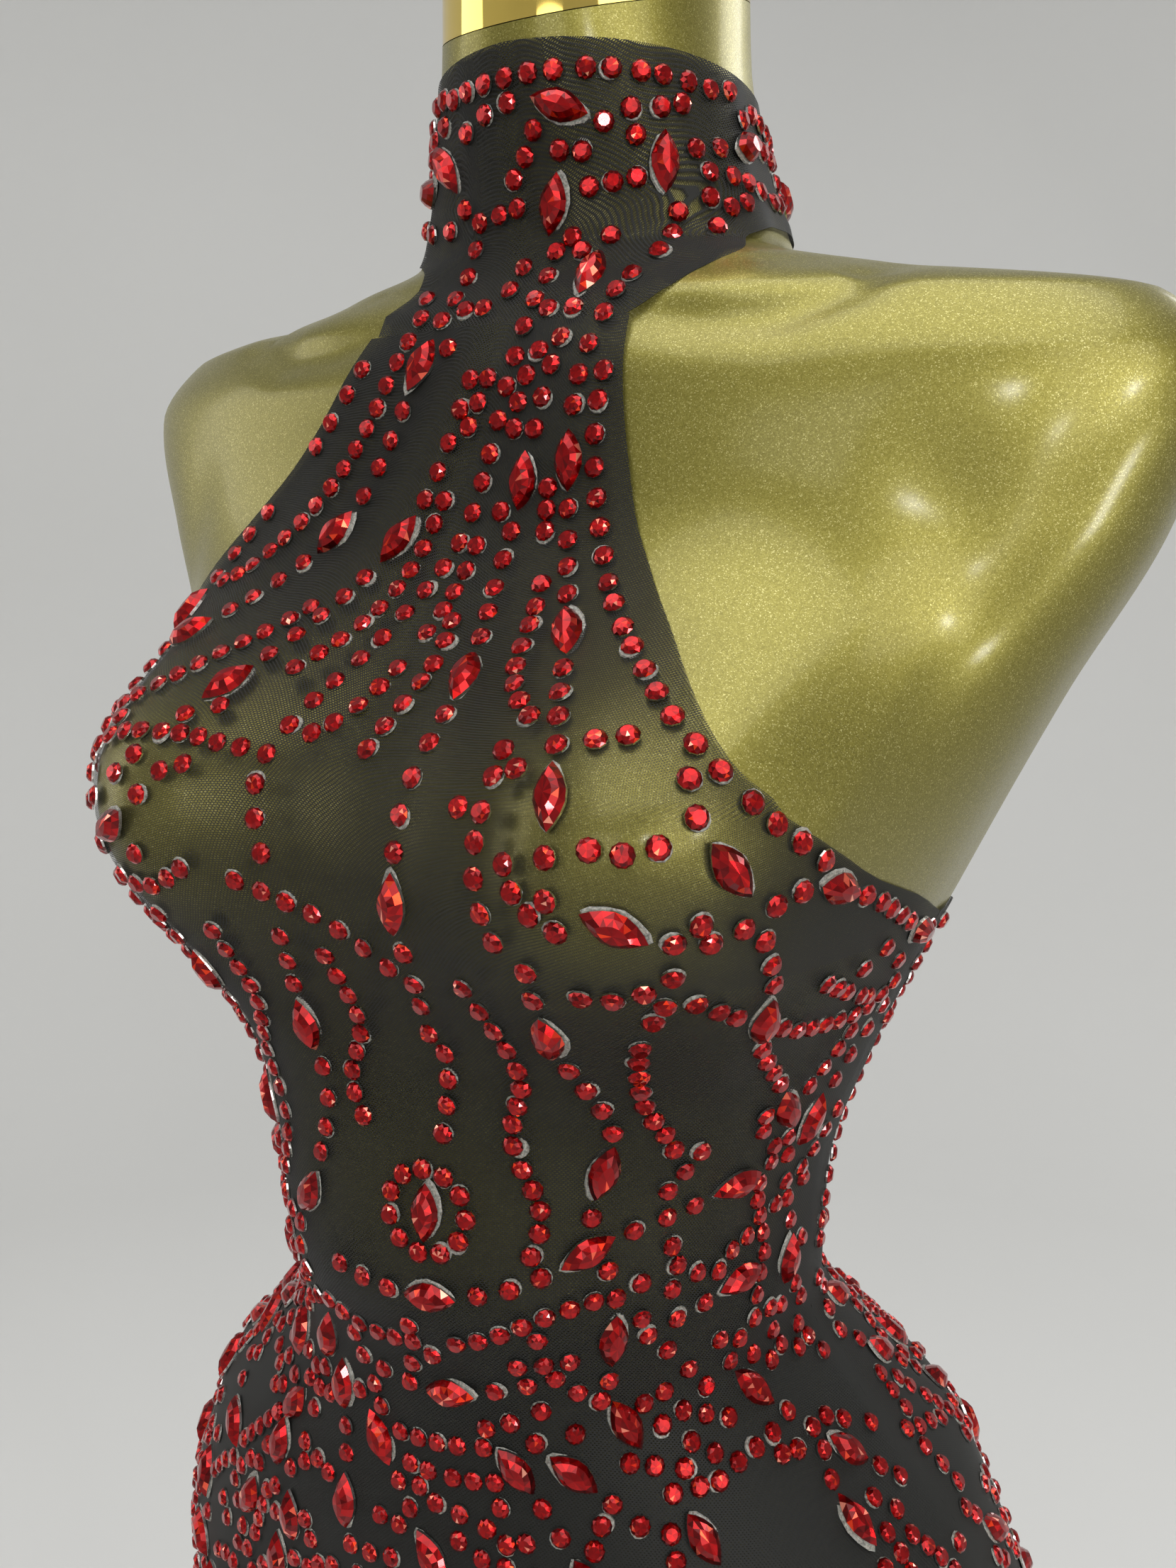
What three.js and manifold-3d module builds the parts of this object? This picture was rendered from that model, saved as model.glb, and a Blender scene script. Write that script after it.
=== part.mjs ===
// A bodycon mini dress of black stretch net, strung with large pointed stones, on a limbless gold dress form.
// The form stands on a pole and a round base. Millimetres, +Z up, the origin under the middle of the base.
// +X is the form's own left and -Y is its front. Levels in the tables are measured from the waist.

import * as THREE from "three";
import { mergeVertices } from "three/addons/utils/BufferGeometryUtils.js";
import Module from "manifold-3d";

// Driving dimensions
const waistHeight = 1020;
const formBottom = -280;
const neckTop = 412;
const hem = -430;
const throatSeam = 326;
const clothClearance = 1.5;
const clothThickness = 1.8;
const seamGap = 0.3;
const bridging = 0.75;
const backEdgeAtSide = 152;
const backEdgeAtCentre = 108;
const napeGap = 2;
// The neck is cut on a slant: it rises this much for each millimetre further back
const neckSlant = 0.3;
const cap = { height: 34, edge: 6 };
const pole = { radius: 15, plateRadius: 60, plateThickness: 6, footRadius: 45 };
const base = { radius: 180, thickness: 5, bevel: 1.5 };
const hook = { length: 16, height: 5, thickness: 1.6 };
const pointedStone = { length: 18, width: 9, height: 4, sunk: 0.9, ridge: 8.5, shoulder: 7 };

// The figure's sections: half width, depth in front, depth behind, and how square the oval is
const sectionColumns = ["level", "side", "front", "back", "squareness"];
const sectionRows = [
  [-450, 148, 86, 90, 2.2],
  [-300, 158, 90, 100, 2.3],
  [-230, 168, 96, 116, 2.3],
  [-180, 171, 100, 126, 2.3],
  [-120, 168, 108, 126, 2.3],
  [-60, 146, 109, 120, 2.2],
  [-20, 110, 106, 86, 2.2],
  [10, 89, 108, 62, 2.2],
  [50, 90, 118, 60, 2.2],
  [100, 104, 112, 83, 2.2],
  [160, 130, 101, 104, 2.3],
  [220, 158, 84, 112, 2.3],
  [270, 184, 72, 116, 2.2],
  [310, 195, 66, 112, 2.1],
  [330, 179, 57, 106, 2],
  [343, 109, 48, 102, 1.9],
  [354, 66, 45, 95, 1.9],
  [368, 58, 46, 86, 2],
  [385, 53, 50, 72, 2],
  [420, 48, 54, 57, 2],
  [500, 46, 55, 52, 2],
];
const bust = { aside: 71, level: 190, depth: 54, spread: 56, above: 48, below: 62, outward: 0.25 };
// How flat the bust is across and up and down, and how soon it fades towards the sides
const bustShape = { across: 2.4, upright: 2.2, fade: 1.6 };

// The cut edges of the front at each armhole: distance from the centre front on the left and right
const armholeColumns = ["level", "left", "right"];
const armholeRows = [
  [326, 46, 48],
  [304, 49, 60],
  [288, 52, 73],
  [270, 57, 93],
  [252, 68, 112],
  [235, 83, 124],
  [220, 97, 130],
  [208, 108, 133],
  [198, 118, 135],
];
// Below those levels the edge turns under the arm: its angle round from the side seam, in degrees
const underarmColumns = ["level", "left", "right"];
const underarmRows = [
  [198, 46.5, 32],
  [188, 38, 26],
  [176, 28, 19],
  [164, 13, 9],
  [152, 0, 0],
];

// The level of the collar's lower edge on the left and right, by angle round from the centre front
const collarEdgeColumns = ["turn", "left", "right"];
const collarEdgeRows = [
  [0, 326, 326],
  [13.5, 326, 326],
  [17.5, 331.5, 338],
  [26.5, 338, 347],
  [44, 345, 352],
  [99, 361, 361],
  [130, 365, 365],
  [180, 367, 367],
];
const collarTop = { front: 407, back: 402 };
// The collar is level at the throat, and its stones keep below this level and away from the nape
const collarStones = { highest: 400, widestTurn: 170 };
const napeRadius = 70;

const frontLevels = [
  326, 308, 290, 272, 254, 238, 222, 208, 198, 188, 176, 164, 152, 136, 116, 95, 70, 48, 32, 19, 7,
  -5, -18, -34, -55, -80, -110, -145, -185, -230, -280, -330, -380, hem,
];
const backLowLevels = [
  70, 48, 32, 19, 7, -5, -18, -34, -55, -80, -110, -145, -185, -230, -280, -330, -380, hem,
];
const shoulderLevels = [318, 327, 335, 341, 347, 353, 360, 368, 378, 392];
// The rings above those levels turn by these shares into the slanted cut of the neck
const neckShares = [0.25, 0.5, 0.75, 1];
const cutter = { above: 12, reach: 0.26, inside: -6, outside: 12, rows: 22, columns: 5 };
const frontColumns = 18;
const backColumns = 20;
const backUpperRows = 3;
const collarColumnCount = 30;
const collarRowCount = 5;
const roundSides = 32;

// The strings of stones that carry pointed stones, in mm round from the centre front and level.
// Each string: a pointed stone after every so many round ones, the place of the first, and its route.
const stringColumns = ["after", "first", "route"];
const stringRows = [
  [5, 3, [[-150, 372], [-96, 384], [-44, 376], [2, 391], [50, 378], [98, 386], [150, 374]]],
  [4, 2, [[-36, 398], [-46, 372], [-36, 346], [-46, 318], [-66, 290], [-94, 262], [-116, 232]]],
  [4, 4, [[-16, 352], [-20, 324], [-30, 296], [-46, 268], [-72, 244], [-104, 226]]],
  [5, 2, [[4, 344], [-2, 312], [-14, 278], [-34, 246], [-58, 216], [-84, 190]]],
  [4, 5, [[14, 348], [12, 316], [6, 284], [-2, 254], [-14, 228], [-28, 200], [-22, 170]]],
  [5, 1, [[30, 352], [26, 318], [20, 284], [18, 252], [26, 222], [24, 190], [20, 128]]],
  [4, 2, [[48, 352], [36, 318], [34, 286], [40, 256], [56, 228], [70, 204], [74, 172]]],
  [5, 6, [[66, 362], [50, 338], [42, 306], [44, 276], [56, 250], [80, 228], [112, 206], [152, 182]]],
  [5, 3, [[66, 196], [84, 176], [112, 168], [140, 178], [168, 172], [204, 150]]],
  [4, 2, [[-62, 196], [-84, 176], [-112, 168], [-142, 180], [-176, 166]]],
  [4, 3, [[98, 214], [108, 196], [122, 180], [128, 156], [118, 130], [126, 104], [134, 78]]],
  [4, 2, [[64, 158], [62, 130], [70, 102], [64, 74], [72, 46], [66, 16], [74, -18]]],
  [4, 3, [[-24, 152], [-28, 124], [-22, 98], [-28, 70], [-40, 44], [-34, 12], [-44, -22]]],
  [4, 2, [[-72, 152], [-66, 124], [-72, 98], [-64, 70], [-72, 40], [-66, 10]]],
  [5, 2, [[-118, 150], [-108, 120], [-114, 92], [-100, 60], [-108, 26]]],
  [3, 2, [[-100, 74], [-66, 58], [-30, 50], [6, 46], [42, 52], [70, 66], [104, 74], [150, 84]]],
  [4, 1, [[214, 144], [184, 126], [156, 104], [136, 76], [144, 44], [130, 12]]],
  [4, 2, [[-206, 140], [-178, 122], [-152, 100], [-134, 72], [-142, 40], [-128, 10]]],
  [3, 1, [[-96, 34], [-62, 24], [-26, 14], [12, 10], [50, 20], [88, 34], [128, 42]]],
];
// The sprays over waist, hips, skirt and collar: families of slanting strings round the whole garment
const sprayColumns = ["strings", "start", "top", "bottom", "drift", "wave", "after", "first"];
const sprayRows = [
  [12, 0.03, 34, -210, 0.34, 0.03, 2, 1],
  [10, 0.1, 8, -250, -0.3, 0.035, 3, 2],
  [8, 0.06, -40, -345, 0.16, 0.05, 4, 2],
  [8, 0.05, 24, -170, 0.55, 0.03, 2, 1],
  [10, 0.03, 398, 338, 0.08, 0.03, 2, 0],
];
const backStringRows = [
  [4, 2, [[0.62, 132], [0.72, 118], [0.84, 104], [1, 96], [1.16, 104], [1.28, 118], [1.38, 132]]],
  [4, 2, [[0.7, 96], [0.78, 66], [0.72, 34]]],
  [4, 2, [[0.94, 84], [0.9, 56], [0.97, 30]]],
  [4, 2, [[1.12, 90], [1.08, 60], [1.14, 32]]],
  [4, 2, [[1.32, 98], [1.24, 68], [1.29, 36]]],
];
const roundStonePitch = 9.4;
const pointedStonePitch = 20.5;
const pointedStoneRoom = 15;
const edgeRoom = 10.5;
const seamRoom = 9;

const half = Math.PI / 2;
const degree = Math.PI / 180;
const halfTurn = 180;
// The foremost point of a section is looked for this many degrees round from the centre front
const foremostTurn = 75;
// How each string of a spray differs from the last: it starts lower and waves out of step
const stagger = { drop: 14, turn: 2.4, phase: 1.9 };

function named(columns, rows) {
  return rows.map((row) => Object.fromEntries(columns.map((name, index) => [name, row[index]])));
}

// A smooth curve through a table's column that never overshoots its rows
function curve(rows, key, column) {
  const sorted = [...rows].sort((a, b) => a[key] - b[key]);
  const at = sorted.map((row) => row[key]);
  const value = sorted.map((row) => row[column]);
  const rise = at.slice(1).map((next, i) => (value[i + 1] - value[i]) / (next - at[i]));
  const slope = value.map((_, i) => {
    if (i === 0) return rise[0];
    if (i === value.length - 1) return rise[i - 1];
    return rise[i - 1] * rise[i] <= 0 ? 0 : (2 * rise[i - 1] * rise[i]) / (rise[i - 1] + rise[i]);
  });
  return (where) => {
    const place = Math.min(Math.max(where, at[0]), at[at.length - 1]);
    let i = 0;
    while (i < at.length - 2 && place > at[i + 1]) i += 1;
    const span = at[i + 1] - at[i];
    const t = (place - at[i]) / span;
    const near = (1 + 2 * t) * (1 - t) ** 2 * value[i] + t * (1 - t) ** 2 * span * slope[i];
    return near + t * t * (3 - 2 * t) * value[i + 1] + t * t * (t - 1) * span * slope[i + 1];
  };
}

const sections = named(sectionColumns, sectionRows);
const sideAt = curve(sections, "level", "side");
const frontAt = curve(sections, "level", "front");
const backAt = curve(sections, "level", "back");
const squarenessAt = curve(sections, "level", "squareness");

// A point on the form. The angle is 0 at its left side, -90 degrees at the centre front.
function formPoint(angle, level) {
  const power = 2 / squarenessAt(level);
  const across = Math.cos(angle);
  const deep = Math.sin(angle);
  const flatX = sideAt(level) * Math.sign(across) * Math.abs(across) ** power;
  const depth = deep < 0 ? frontAt(level) : backAt(level);
  let x = flatX;
  let y = depth * Math.sign(deep) * Math.abs(deep) ** power;
  const rise = level - bust.level;
  const reach = Math.abs(rise) / (rise > 0 ? bust.above : bust.below);
  for (const hand of [-1, 1]) {
    const off = Math.abs(flatX * hand - bust.aside) / bust.spread;
    const fade = Math.min(Math.max(-deep * bustShape.fade, 0), 1);
    const swell = Math.exp(-(off ** bustShape.across + reach ** bustShape.upright)) * fade;
    y -= bust.depth * swell;
    x += hand * bust.outward * bust.depth * swell;
  }
  return new THREE.Vector3(x, y, level);
}

// The taut net spans the hollow between the busts instead of following it
const spans = new Map();
function spanAt(level) {
  const key = level.toFixed(2);
  if (!spans.has(key)) {
    let tip = formPoint(-half, level);
    for (let turn = 1; turn < foremostTurn; turn += 1) {
      const point = formPoint(-half + turn * degree, level);
      if (point.y < tip.y) tip = point;
    }
    spans.set(key, tip);
  }
  return spans.get(key);
}

function restingPoint(angle, level) {
  const point = formPoint(angle, level);
  const tip = spanAt(level);
  if (Math.sin(angle) < 0 && Math.abs(point.x) < tip.x) point.y += bridging * (tip.y - point.y);
  return point;
}

function outwardAt(angle, level) {
  const step = 0.02;
  const rise = 2;
  const round = restingPoint(angle + step, level).sub(restingPoint(angle - step, level));
  const up = restingPoint(angle, level + rise).sub(restingPoint(angle, level - rise));
  return round.cross(up).normalize();
}

function clothPoint(angle, level, lift) {
  return restingPoint(angle, level).addScaledVector(outwardAt(angle, level), lift);
}

// Closed meshes from grids of points

function meshFrom(points, faces) {
  const geometry = new THREE.BufferGeometry();
  const positions = points.flatMap((point) => [point.x, point.y, point.z + waistHeight]);
  geometry.setAttribute("position", new THREE.Float32BufferAttribute(positions, 3));
  let volume = 0;
  for (const [a, b, c] of faces) volume += points[a].dot(points[b].clone().cross(points[c]));
  const turned = volume < 0 ? faces.map(([a, b, c]) => [a, c, b]) : faces;
  geometry.setIndex(turned.flat());
  return geometry;
}

// A wall between an outer and an inner grid, closed along its four edges
function wall(outer, inner) {
  const rows = outer.length;
  const columns = outer[0].length;
  const layer = rows * columns;
  const points = [...outer.flat(), ...inner.flat()];
  const faces = [];
  const quad = (a, b, c, d) => faces.push([a, b, c], [a, c, d]);
  for (let j = 0; j < rows - 1; j += 1) {
    for (let i = 0; i < columns - 1; i += 1) {
      const a = j * columns + i;
      quad(a, a + 1, a + columns + 1, a + columns);
      quad(layer + a, layer + a + columns, layer + a + columns + 1, layer + a + 1);
    }
  }
  const rim = [];
  for (let i = 0; i < columns - 1; i += 1) rim.push(i);
  for (let j = 0; j < rows - 1; j += 1) rim.push(j * columns + columns - 1);
  for (let i = columns - 1; i > 0; i -= 1) rim.push((rows - 1) * columns + i);
  for (let j = rows - 1; j > 0; j -= 1) rim.push(j * columns);
  rim.forEach((corner, k) => {
    const next = rim[(k + 1) % rim.length];
    quad(corner, layer + corner, layer + next, next);
  });
  return meshFrom(points, faces);
}

// A solid through closed rings, flat at both ends
function loft(rings) {
  const columns = rings[0].length;
  const points = rings.flat();
  const faces = [];
  for (let j = 0; j < rings.length - 1; j += 1) {
    for (let i = 0; i < columns; i += 1) {
      const next = (i + 1) % columns;
      const a = j * columns;
      const b = a + columns;
      faces.push([a + i, a + next, b + i], [a + next, b + next, b + i]);
    }
  }
  for (const [end, flip] of [[0, true], [rings.length - 1, false]]) {
    const middle = points.length;
    const centre = new THREE.Vector3();
    rings[end].forEach((point) => centre.addScaledVector(point, 1 / columns));
    points.push(centre);
    for (let i = 0; i < columns; i += 1) {
      const a = end * columns + i;
      const b = end * columns + ((i + 1) % columns);
      faces.push(flip ? [b, a, middle] : [a, b, middle]);
    }
  }
  return meshFrom(points, faces);
}

// Distances round the garment, measured on the cloth from the centre front, and the angles they reach
const girths = new Map();
function girthTable(level) {
  const key = Math.round(level);
  if (!girths.has(key)) {
    const steps = 180;
    const lengths = [0];
    let last = clothPoint(-half, key, 0);
    for (let i = 1; i <= steps; i += 1) {
      const next = clothPoint(-half + (Math.PI * i) / steps, key, 0);
      lengths.push(lengths[i - 1] + Math.hypot(next.x - last.x, next.y - last.y));
      last = next;
    }
    girths.set(key, lengths);
  }
  return girths.get(key);
}

function angleRound(distance, level) {
  const lengths = girthTable(level);
  const last = lengths.length - 1;
  const along = Math.min(Math.abs(distance), lengths[last]);
  let i = 0;
  while (i < last - 1 && along > lengths[i + 1]) i += 1;
  const share = (along - lengths[i]) / (lengths[i + 1] - lengths[i]);
  return -half + (Math.sign(distance) * (i + share) * Math.PI) / last;
}

function distanceRound(angle, level) {
  const lengths = girthTable(level);
  const last = lengths.length - 1;
  const place = (Math.abs(angle + half) / Math.PI) * last;
  const i = Math.min(Math.floor(place), last - 1);
  return lengths[i] + (place - i) * (lengths[i + 1] - lengths[i]);
}

const halfGirth = (level) => girthTable(level)[girthTable(level).length - 1];

// The angle that a share of the way round from the centre back to the side seam takes up
function angleBehind(share, level) {
  const seam = distanceRound(0, level);
  const reach = halfGirth(level) - share * (halfGirth(level) - seam);
  return half - angleRound(reach, level);
}

// The garment's pieces as grids of angle and level

const armhole = named(armholeColumns, armholeRows);
const underarm = named(underarmColumns, underarmRows);
const collarEdge = named(collarEdgeColumns, collarEdgeRows);
const collarEdgeOn = {
  left: curve(collarEdge, "turn", "left"),
  right: curve(collarEdge, "turn", "right"),
};
const collarEdgeAt = (turn) => collarEdgeOn[turn > 0 ? "left" : "right"](Math.abs(turn));
const collarTopAt = (turn) =>
  collarTop.front + ((collarTop.back - collarTop.front) * Math.abs(turn)) / halfTurn;
const lastArmholeLevel = armhole[armhole.length - 1].level;
const underarmLevel = underarm[underarm.length - 1].level;

// The angle on one side of the front at a distance across from its centre
function angleAcross(distance, level) {
  let low = -half;
  let high = 0;
  for (let pass = 0; pass < 30; pass += 1) {
    const middle = (low + high) / 2;
    if (restingPoint(middle, level).x < distance) low = middle;
    else high = middle;
  }
  return low;
}

function frontEdge(side, level) {
  if (level <= underarmLevel) return 0;
  if (level > throatSeam) return angleAcross(armhole[0][side], level);
  if (level < lastArmholeLevel) return -curve(underarm, "level", side)(level) * degree;
  return angleAcross(curve(armhole, "level", side)(level), level);
}

const backEdgeAt = (angle) =>
  backEdgeAtCentre + (backEdgeAtSide - backEdgeAtCentre) * Math.cos(angle) ** 2;

// Each cell is an angle, a level and how far the point moves back to part it from the seam.
// The front is laid out from side seam to side seam at every level, and its armholes are cut after.
function frontCells() {
  return frontLevels.map((level, row) => {
    const sideSeam = distanceRound(0, level);
    const below = row === 0 ? seamGap / 2 : 0;
    return Array.from({ length: frontColumns + 1 }, (_, i) => {
      const distance = sideSeam * ((2 * i) / frontColumns - 1);
      const parting = i === 0 || i === frontColumns ? -seamGap / 2 : 0;
      return { angle: angleRound(distance, level), level: level - below, parting };
    });
  });
}

// What the armhole takes away: a thick sheet from its cut edge round past the side seam
function armholeCells(side) {
  const top = throatSeam + cutter.above;
  return Array.from({ length: cutter.rows + 1 }, (_, row) => {
    const level = top + ((underarmLevel - top) * row) / cutter.rows;
    const edge = frontEdge(side, level);
    return Array.from({ length: cutter.columns + 1 }, (_, i) => {
      const angle = edge + ((cutter.reach - edge) * i) / cutter.columns;
      return { angle: side === "left" ? angle : -Math.PI - angle, level, parting: 0 };
    });
  });
}

function backCells() {
  const top = backLowLevels[0];
  const upper = Array.from({ length: backUpperRows }, (_, row) => 1 - row / backUpperRows);
  const rowOf = (levelAt) =>
    Array.from({ length: backColumns + 1 }, (_, i) => {
      const share = (2 * i) / backColumns - 1;
      const angle = half + Math.sign(share) * angleBehind(Math.abs(share), levelAt(half));
      const atSide = i === 0 || i === backColumns;
      return { angle, level: levelAt(angle), parting: atSide ? seamGap / 2 : 0 };
    });
  return [
    ...upper.map((share) => rowOf((angle) => top + share * (backEdgeAt(angle) - top))),
    ...backLowLevels.map((level) => rowOf(() => level)),
  ];
}

function collarCells() {
  const rows = Array.from({ length: collarRowCount + 1 }, (_, row) => 1 - row / collarRowCount);
  const lastAngle = napeGap / 2 / napeRadius;
  const start = -3 * half + lastAngle;
  const sweep = 4 * half - 2 * lastAngle;
  return rows.map((share) =>
    Array.from({ length: collarColumnCount + 1 }, (_, i) => {
      const angle = start + (sweep * i) / collarColumnCount;
      const turn = (angle + half) / degree;
      const low = collarEdgeAt(turn) + seamGap / 2;
      const high = collarTopAt(turn);
      return { angle, level: low + share * (high - low), parting: 0 };
    })
  );
}

function layer(cells, lift) {
  return cells.map((row) =>
    row.map((cell) => {
      const point = clothPoint(cell.angle, cell.level, lift);
      point.y += cell.parting;
      return point;
    })
  );
}

// Strings of stones: a smooth route on the cloth, walked by length

// A share of the half girth becomes a distance; past the centre back it goes on round the other side
function roundFromShare(share, level) {
  const wrapped = ((((share + 1) % 2) + 2) % 2) - 1;
  return wrapped * halfGirth(level);
}

function sprayRoutes() {
  const steps = 10;
  return named(sprayColumns, sprayRows).flatMap((spray) =>
    Array.from({ length: spray.strings }, (_, n) => {
      const route = Array.from({ length: steps + 1 }, (_, i) => {
        const t = i / steps;
        const fall = stagger.drop * Math.sin(stagger.turn * n);
        const level = spray.top + (spray.bottom - spray.top) * t - fall;
        const share = spray.start + (2 * n) / spray.strings + spray.drift * t;
        return [share + spray.wave * Math.sin(2 * Math.PI * t + stagger.phase * n), level];
      });
      return { after: spray.after, first: spray.first + (n % 2), shares: route };
    })
  );
}

const shareRoutes = (rows) =>
  rows.map(([after, first, route]) => ({ after, first, shares: route }));

function stringCurve(string) {
  const shared = string.shares !== undefined;
  const flat = (shared ? string.shares : string.route).map(([a, b]) => new THREE.Vector3(a, b, 0));
  return (t) => {
    const spline = new THREE.CatmullRomCurve3(flat, false, "centripetal");
    const place = spline.getPoint(t);
    const distance = shared ? roundFromShare(place.x, place.y) : place.x;
    return { angle: angleRound(distance, place.y), level: place.y };
  };
}

// The place on a string under one tip of a stone, ahead of its middle or behind it
function tipFrom(at, start, direction, steps) {
  const middle = at(start / steps);
  const from = clothPoint(middle.angle, middle.level, 0);
  let cell = middle;
  for (let i = start + direction; i >= 0 && i <= steps; i += direction) {
    cell = at(i / steps);
    if (clothPoint(cell.angle, cell.level, 0).distanceTo(from) > pointedStone.length / 2) break;
  }
  return cell;
}

// Walks a string and gives the places of its pointed stones
function pointedPlaces(string) {
  const at = stringCurve(string);
  const steps = 160;
  const places = [];
  let last = null;
  let along = 0;
  let due = 0;
  let count = 0;
  for (let i = 0; i <= steps; i += 1) {
    const cell = at(i / steps);
    const point = clothPoint(cell.angle, cell.level, 0);
    if (last) along += point.distanceTo(last);
    last = point;
    if (along < due) continue;
    const pointed = count % (string.after + 1) === string.first;
    const following = (count + 1) % (string.after + 1) === string.first;
    if (pointed) {
      const head = tipFrom(at, i, 1, steps);
      const tail = tipFrom(at, i, -1, steps);
      places.push({ ...cell, point, head, tail });
    }
    due += pointed || following ? (roundStonePitch + pointedStonePitch) / 2 : roundStonePitch;
    count += 1;
  }
  return places;
}

function allPointedPlaces() {
  const strings = [
    ...named(stringColumns, stringRows),
    ...shareRoutes(backStringRows),
    ...sprayRoutes(),
  ];
  const kept = [];
  for (const place of strings.flatMap(pointedPlaces)) {
    if (kept.every((other) => other.point.distanceTo(place.point) > pointedStoneRoom)) kept.push(place);
  }
  return kept;
}

// Which piece of the garment a place lies on, kept clear of its edges and seams
function pieceOf({ angle, level, point }) {
  const inFront = Math.sin(angle) < 0;
  const turn = (((angle + half + Math.PI) % (2 * Math.PI)) - Math.PI) / degree;
  const highest = Math.min(collarTopAt(turn) - edgeRoom, collarStones.highest);
  if (level > collarEdgeAt(turn) + edgeRoom && level < highest) {
    return Math.abs(turn) < collarStones.widestTurn ? "collar" : null;
  }
  const side = point.x > 0 ? "left" : "right";
  if (inFront && level < throatSeam - edgeRoom && level > hem + edgeRoom) {
    const edgeAngle = frontEdge(side, level);
    const edge = clothPoint(side === "left" ? edgeAngle : -Math.PI - edgeAngle, level, 0);
    const above = level > underarmLevel - edgeRoom;
    const room = above ? edge.distanceTo(point) - edgeRoom : Math.abs(point.y) - seamRoom;
    return room > 0 ? "front" : null;
  }
  if (!inFront && level < backEdgeAt(angle) - edgeRoom && level > hem + edgeRoom) {
    return Math.abs(point.y) > seamRoom ? "back" : null;
  }
  return null;
}

// The place on the faceted outer face, so that each stone sits in its wall
function onGrid(cells, outer, angle, level) {
  const turned = [angle, angle - 2 * Math.PI, angle + 2 * Math.PI].find((a) => {
    const first = cells[0][0].angle;
    const last = cells[0][cells[0].length - 1].angle;
    const low = Math.min(first, cells[cells.length - 1][0].angle);
    const high = Math.max(last, cells[cells.length - 1][cells[0].length - 1].angle);
    return a > low && a < high;
  });
  for (let j = 0; j < cells.length - 1; j += 1) {
    for (let i = 0; i < cells[0].length - 1; i += 1) {
      const corners = [cells[j][i], cells[j][i + 1], cells[j + 1][i + 1], cells[j + 1][i]];
      const places = [outer[j][i], outer[j][i + 1], outer[j + 1][i + 1], outer[j + 1][i]];
      for (const [a, b, c] of [[0, 1, 2], [0, 2, 3]]) {
        const ax = corners[a].angle;
        const ay = corners[a].level;
        const bx = corners[b].angle - ax;
        const by = corners[b].level - ay;
        const cx = corners[c].angle - ax;
        const cy = corners[c].level - ay;
        const det = bx * cy - by * cx;
        const u = ((turned - ax) * cy - (level - ay) * cx) / det;
        const v = ((level - ay) * bx - (turned - ax) * by) / det;
        if (u >= -0.001 && v >= -0.001 && u + v <= 1.001) {
          const edgeB = places[b].clone().sub(places[a]);
          const edgeC = places[c].clone().sub(places[a]);
          const seat = places[a].clone().addScaledVector(edgeB, u).addScaledVector(edgeC, v);
          return { seat, facing: edgeC.cross(edgeB).normalize() };
        }
      }
    }
  }
  return null;
}

// A pointed stone: a six-cornered outline with points at both ends, rising to a short ridge
function stoneSolid(centre, outward, onward) {
  const side = new THREE.Vector3().crossVectors(outward, onward).normalize();
  const along = new THREE.Vector3().crossVectors(side, outward).normalize();
  const put = (x, y, z) =>
    centre.clone().addScaledVector(along, x).addScaledVector(side, y).addScaledVector(outward, z);
  const { length, width, height, sunk, ridge, shoulder } = pointedStone;
  const outline = [
    [length / 2, 0],
    [shoulder / 2, width / 2],
    [-shoulder / 2, width / 2],
    [-length / 2, 0],
    [-shoulder / 2, -width / 2],
    [shoulder / 2, -width / 2],
  ];
  const points = outline.map(([x, y]) => put(x, y, -sunk));
  points.push(put(ridge / 2, 0, height), put(-ridge / 2, 0, height));
  const faces = [
    [0, 1, 6], [1, 2, 7], [1, 7, 6], [2, 3, 7],
    [3, 4, 7], [4, 5, 6], [4, 6, 7], [5, 0, 6],
    [0, 2, 1], [0, 3, 2], [0, 4, 3], [0, 5, 4],
  ];
  return meshFrom(points, faces);
}

const wasm = await Module();
wasm.setup();

function solidOf(geometry) {
  const plain = geometry.clone();
  plain.deleteAttribute("normal");
  plain.deleteAttribute("uv");
  const merged = mergeVertices(plain, 0.0001);
  const vertProperties = new Float32Array(merged.attributes.position.array);
  const triVerts = new Uint32Array(merged.index.array);
  return new wasm.Manifold(new wasm.Mesh({ numProp: 3, vertProperties, triVerts }));
}

function geometryOf(solid) {
  const mesh = solid.getMesh();
  const geometry = new THREE.BufferGeometry();
  geometry.setAttribute("position", new THREE.BufferAttribute(new Float32Array(mesh.vertProperties), 3));
  geometry.setIndex(Array.from(mesh.triVerts));
  return geometry;
}

// A stone on the wall, along the line between the places under its tips. It bridges a hollow between them.
function seatedStone(cells, outer, { angle, level, head, tail }) {
  const facet = onGrid(cells, outer, angle, level);
  const front = onGrid(cells, outer, head.angle, head.level);
  const rear = onGrid(cells, outer, tail.angle, tail.level);
  if (!facet || !front || !rear) return null;
  const onward = front.seat.clone().sub(rear.seat);
  const facing = facet.facing.multiplyScalar(Math.sign(facet.facing.dot(outwardAt(angle, level))));
  const outward = facing.addScaledVector(onward, -facing.dot(onward) / onward.lengthSq()).normalize();
  const between = front.seat.add(rear.seat).multiplyScalar(0.5);
  const rise = Math.max(between.sub(facet.seat).dot(outward), 0);
  return stoneSolid(facet.seat.addScaledVector(outward, rise), outward, onward);
}

// A garment piece: its wall with the pointed stones raised from the outer face over a plain inside
function strungPiece(cells, places, cuts = []) {
  const outer = layer(cells, clothClearance + clothThickness);
  const inner = layer(cells, clothClearance);
  let solid = solidOf(wall(outer, inner));
  for (const cut of cuts) {
    solid = solid.subtract(solidOf(wall(layer(cut, cutter.outside), layer(cut, cutter.inside))));
  }
  for (const place of places) {
    const stone = seatedStone(cells, outer, place);
    if (stone) solid = solid.add(solidOf(stone));
  }
  return geometryOf(solid);
}

// The form, its cap and its stand

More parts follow.
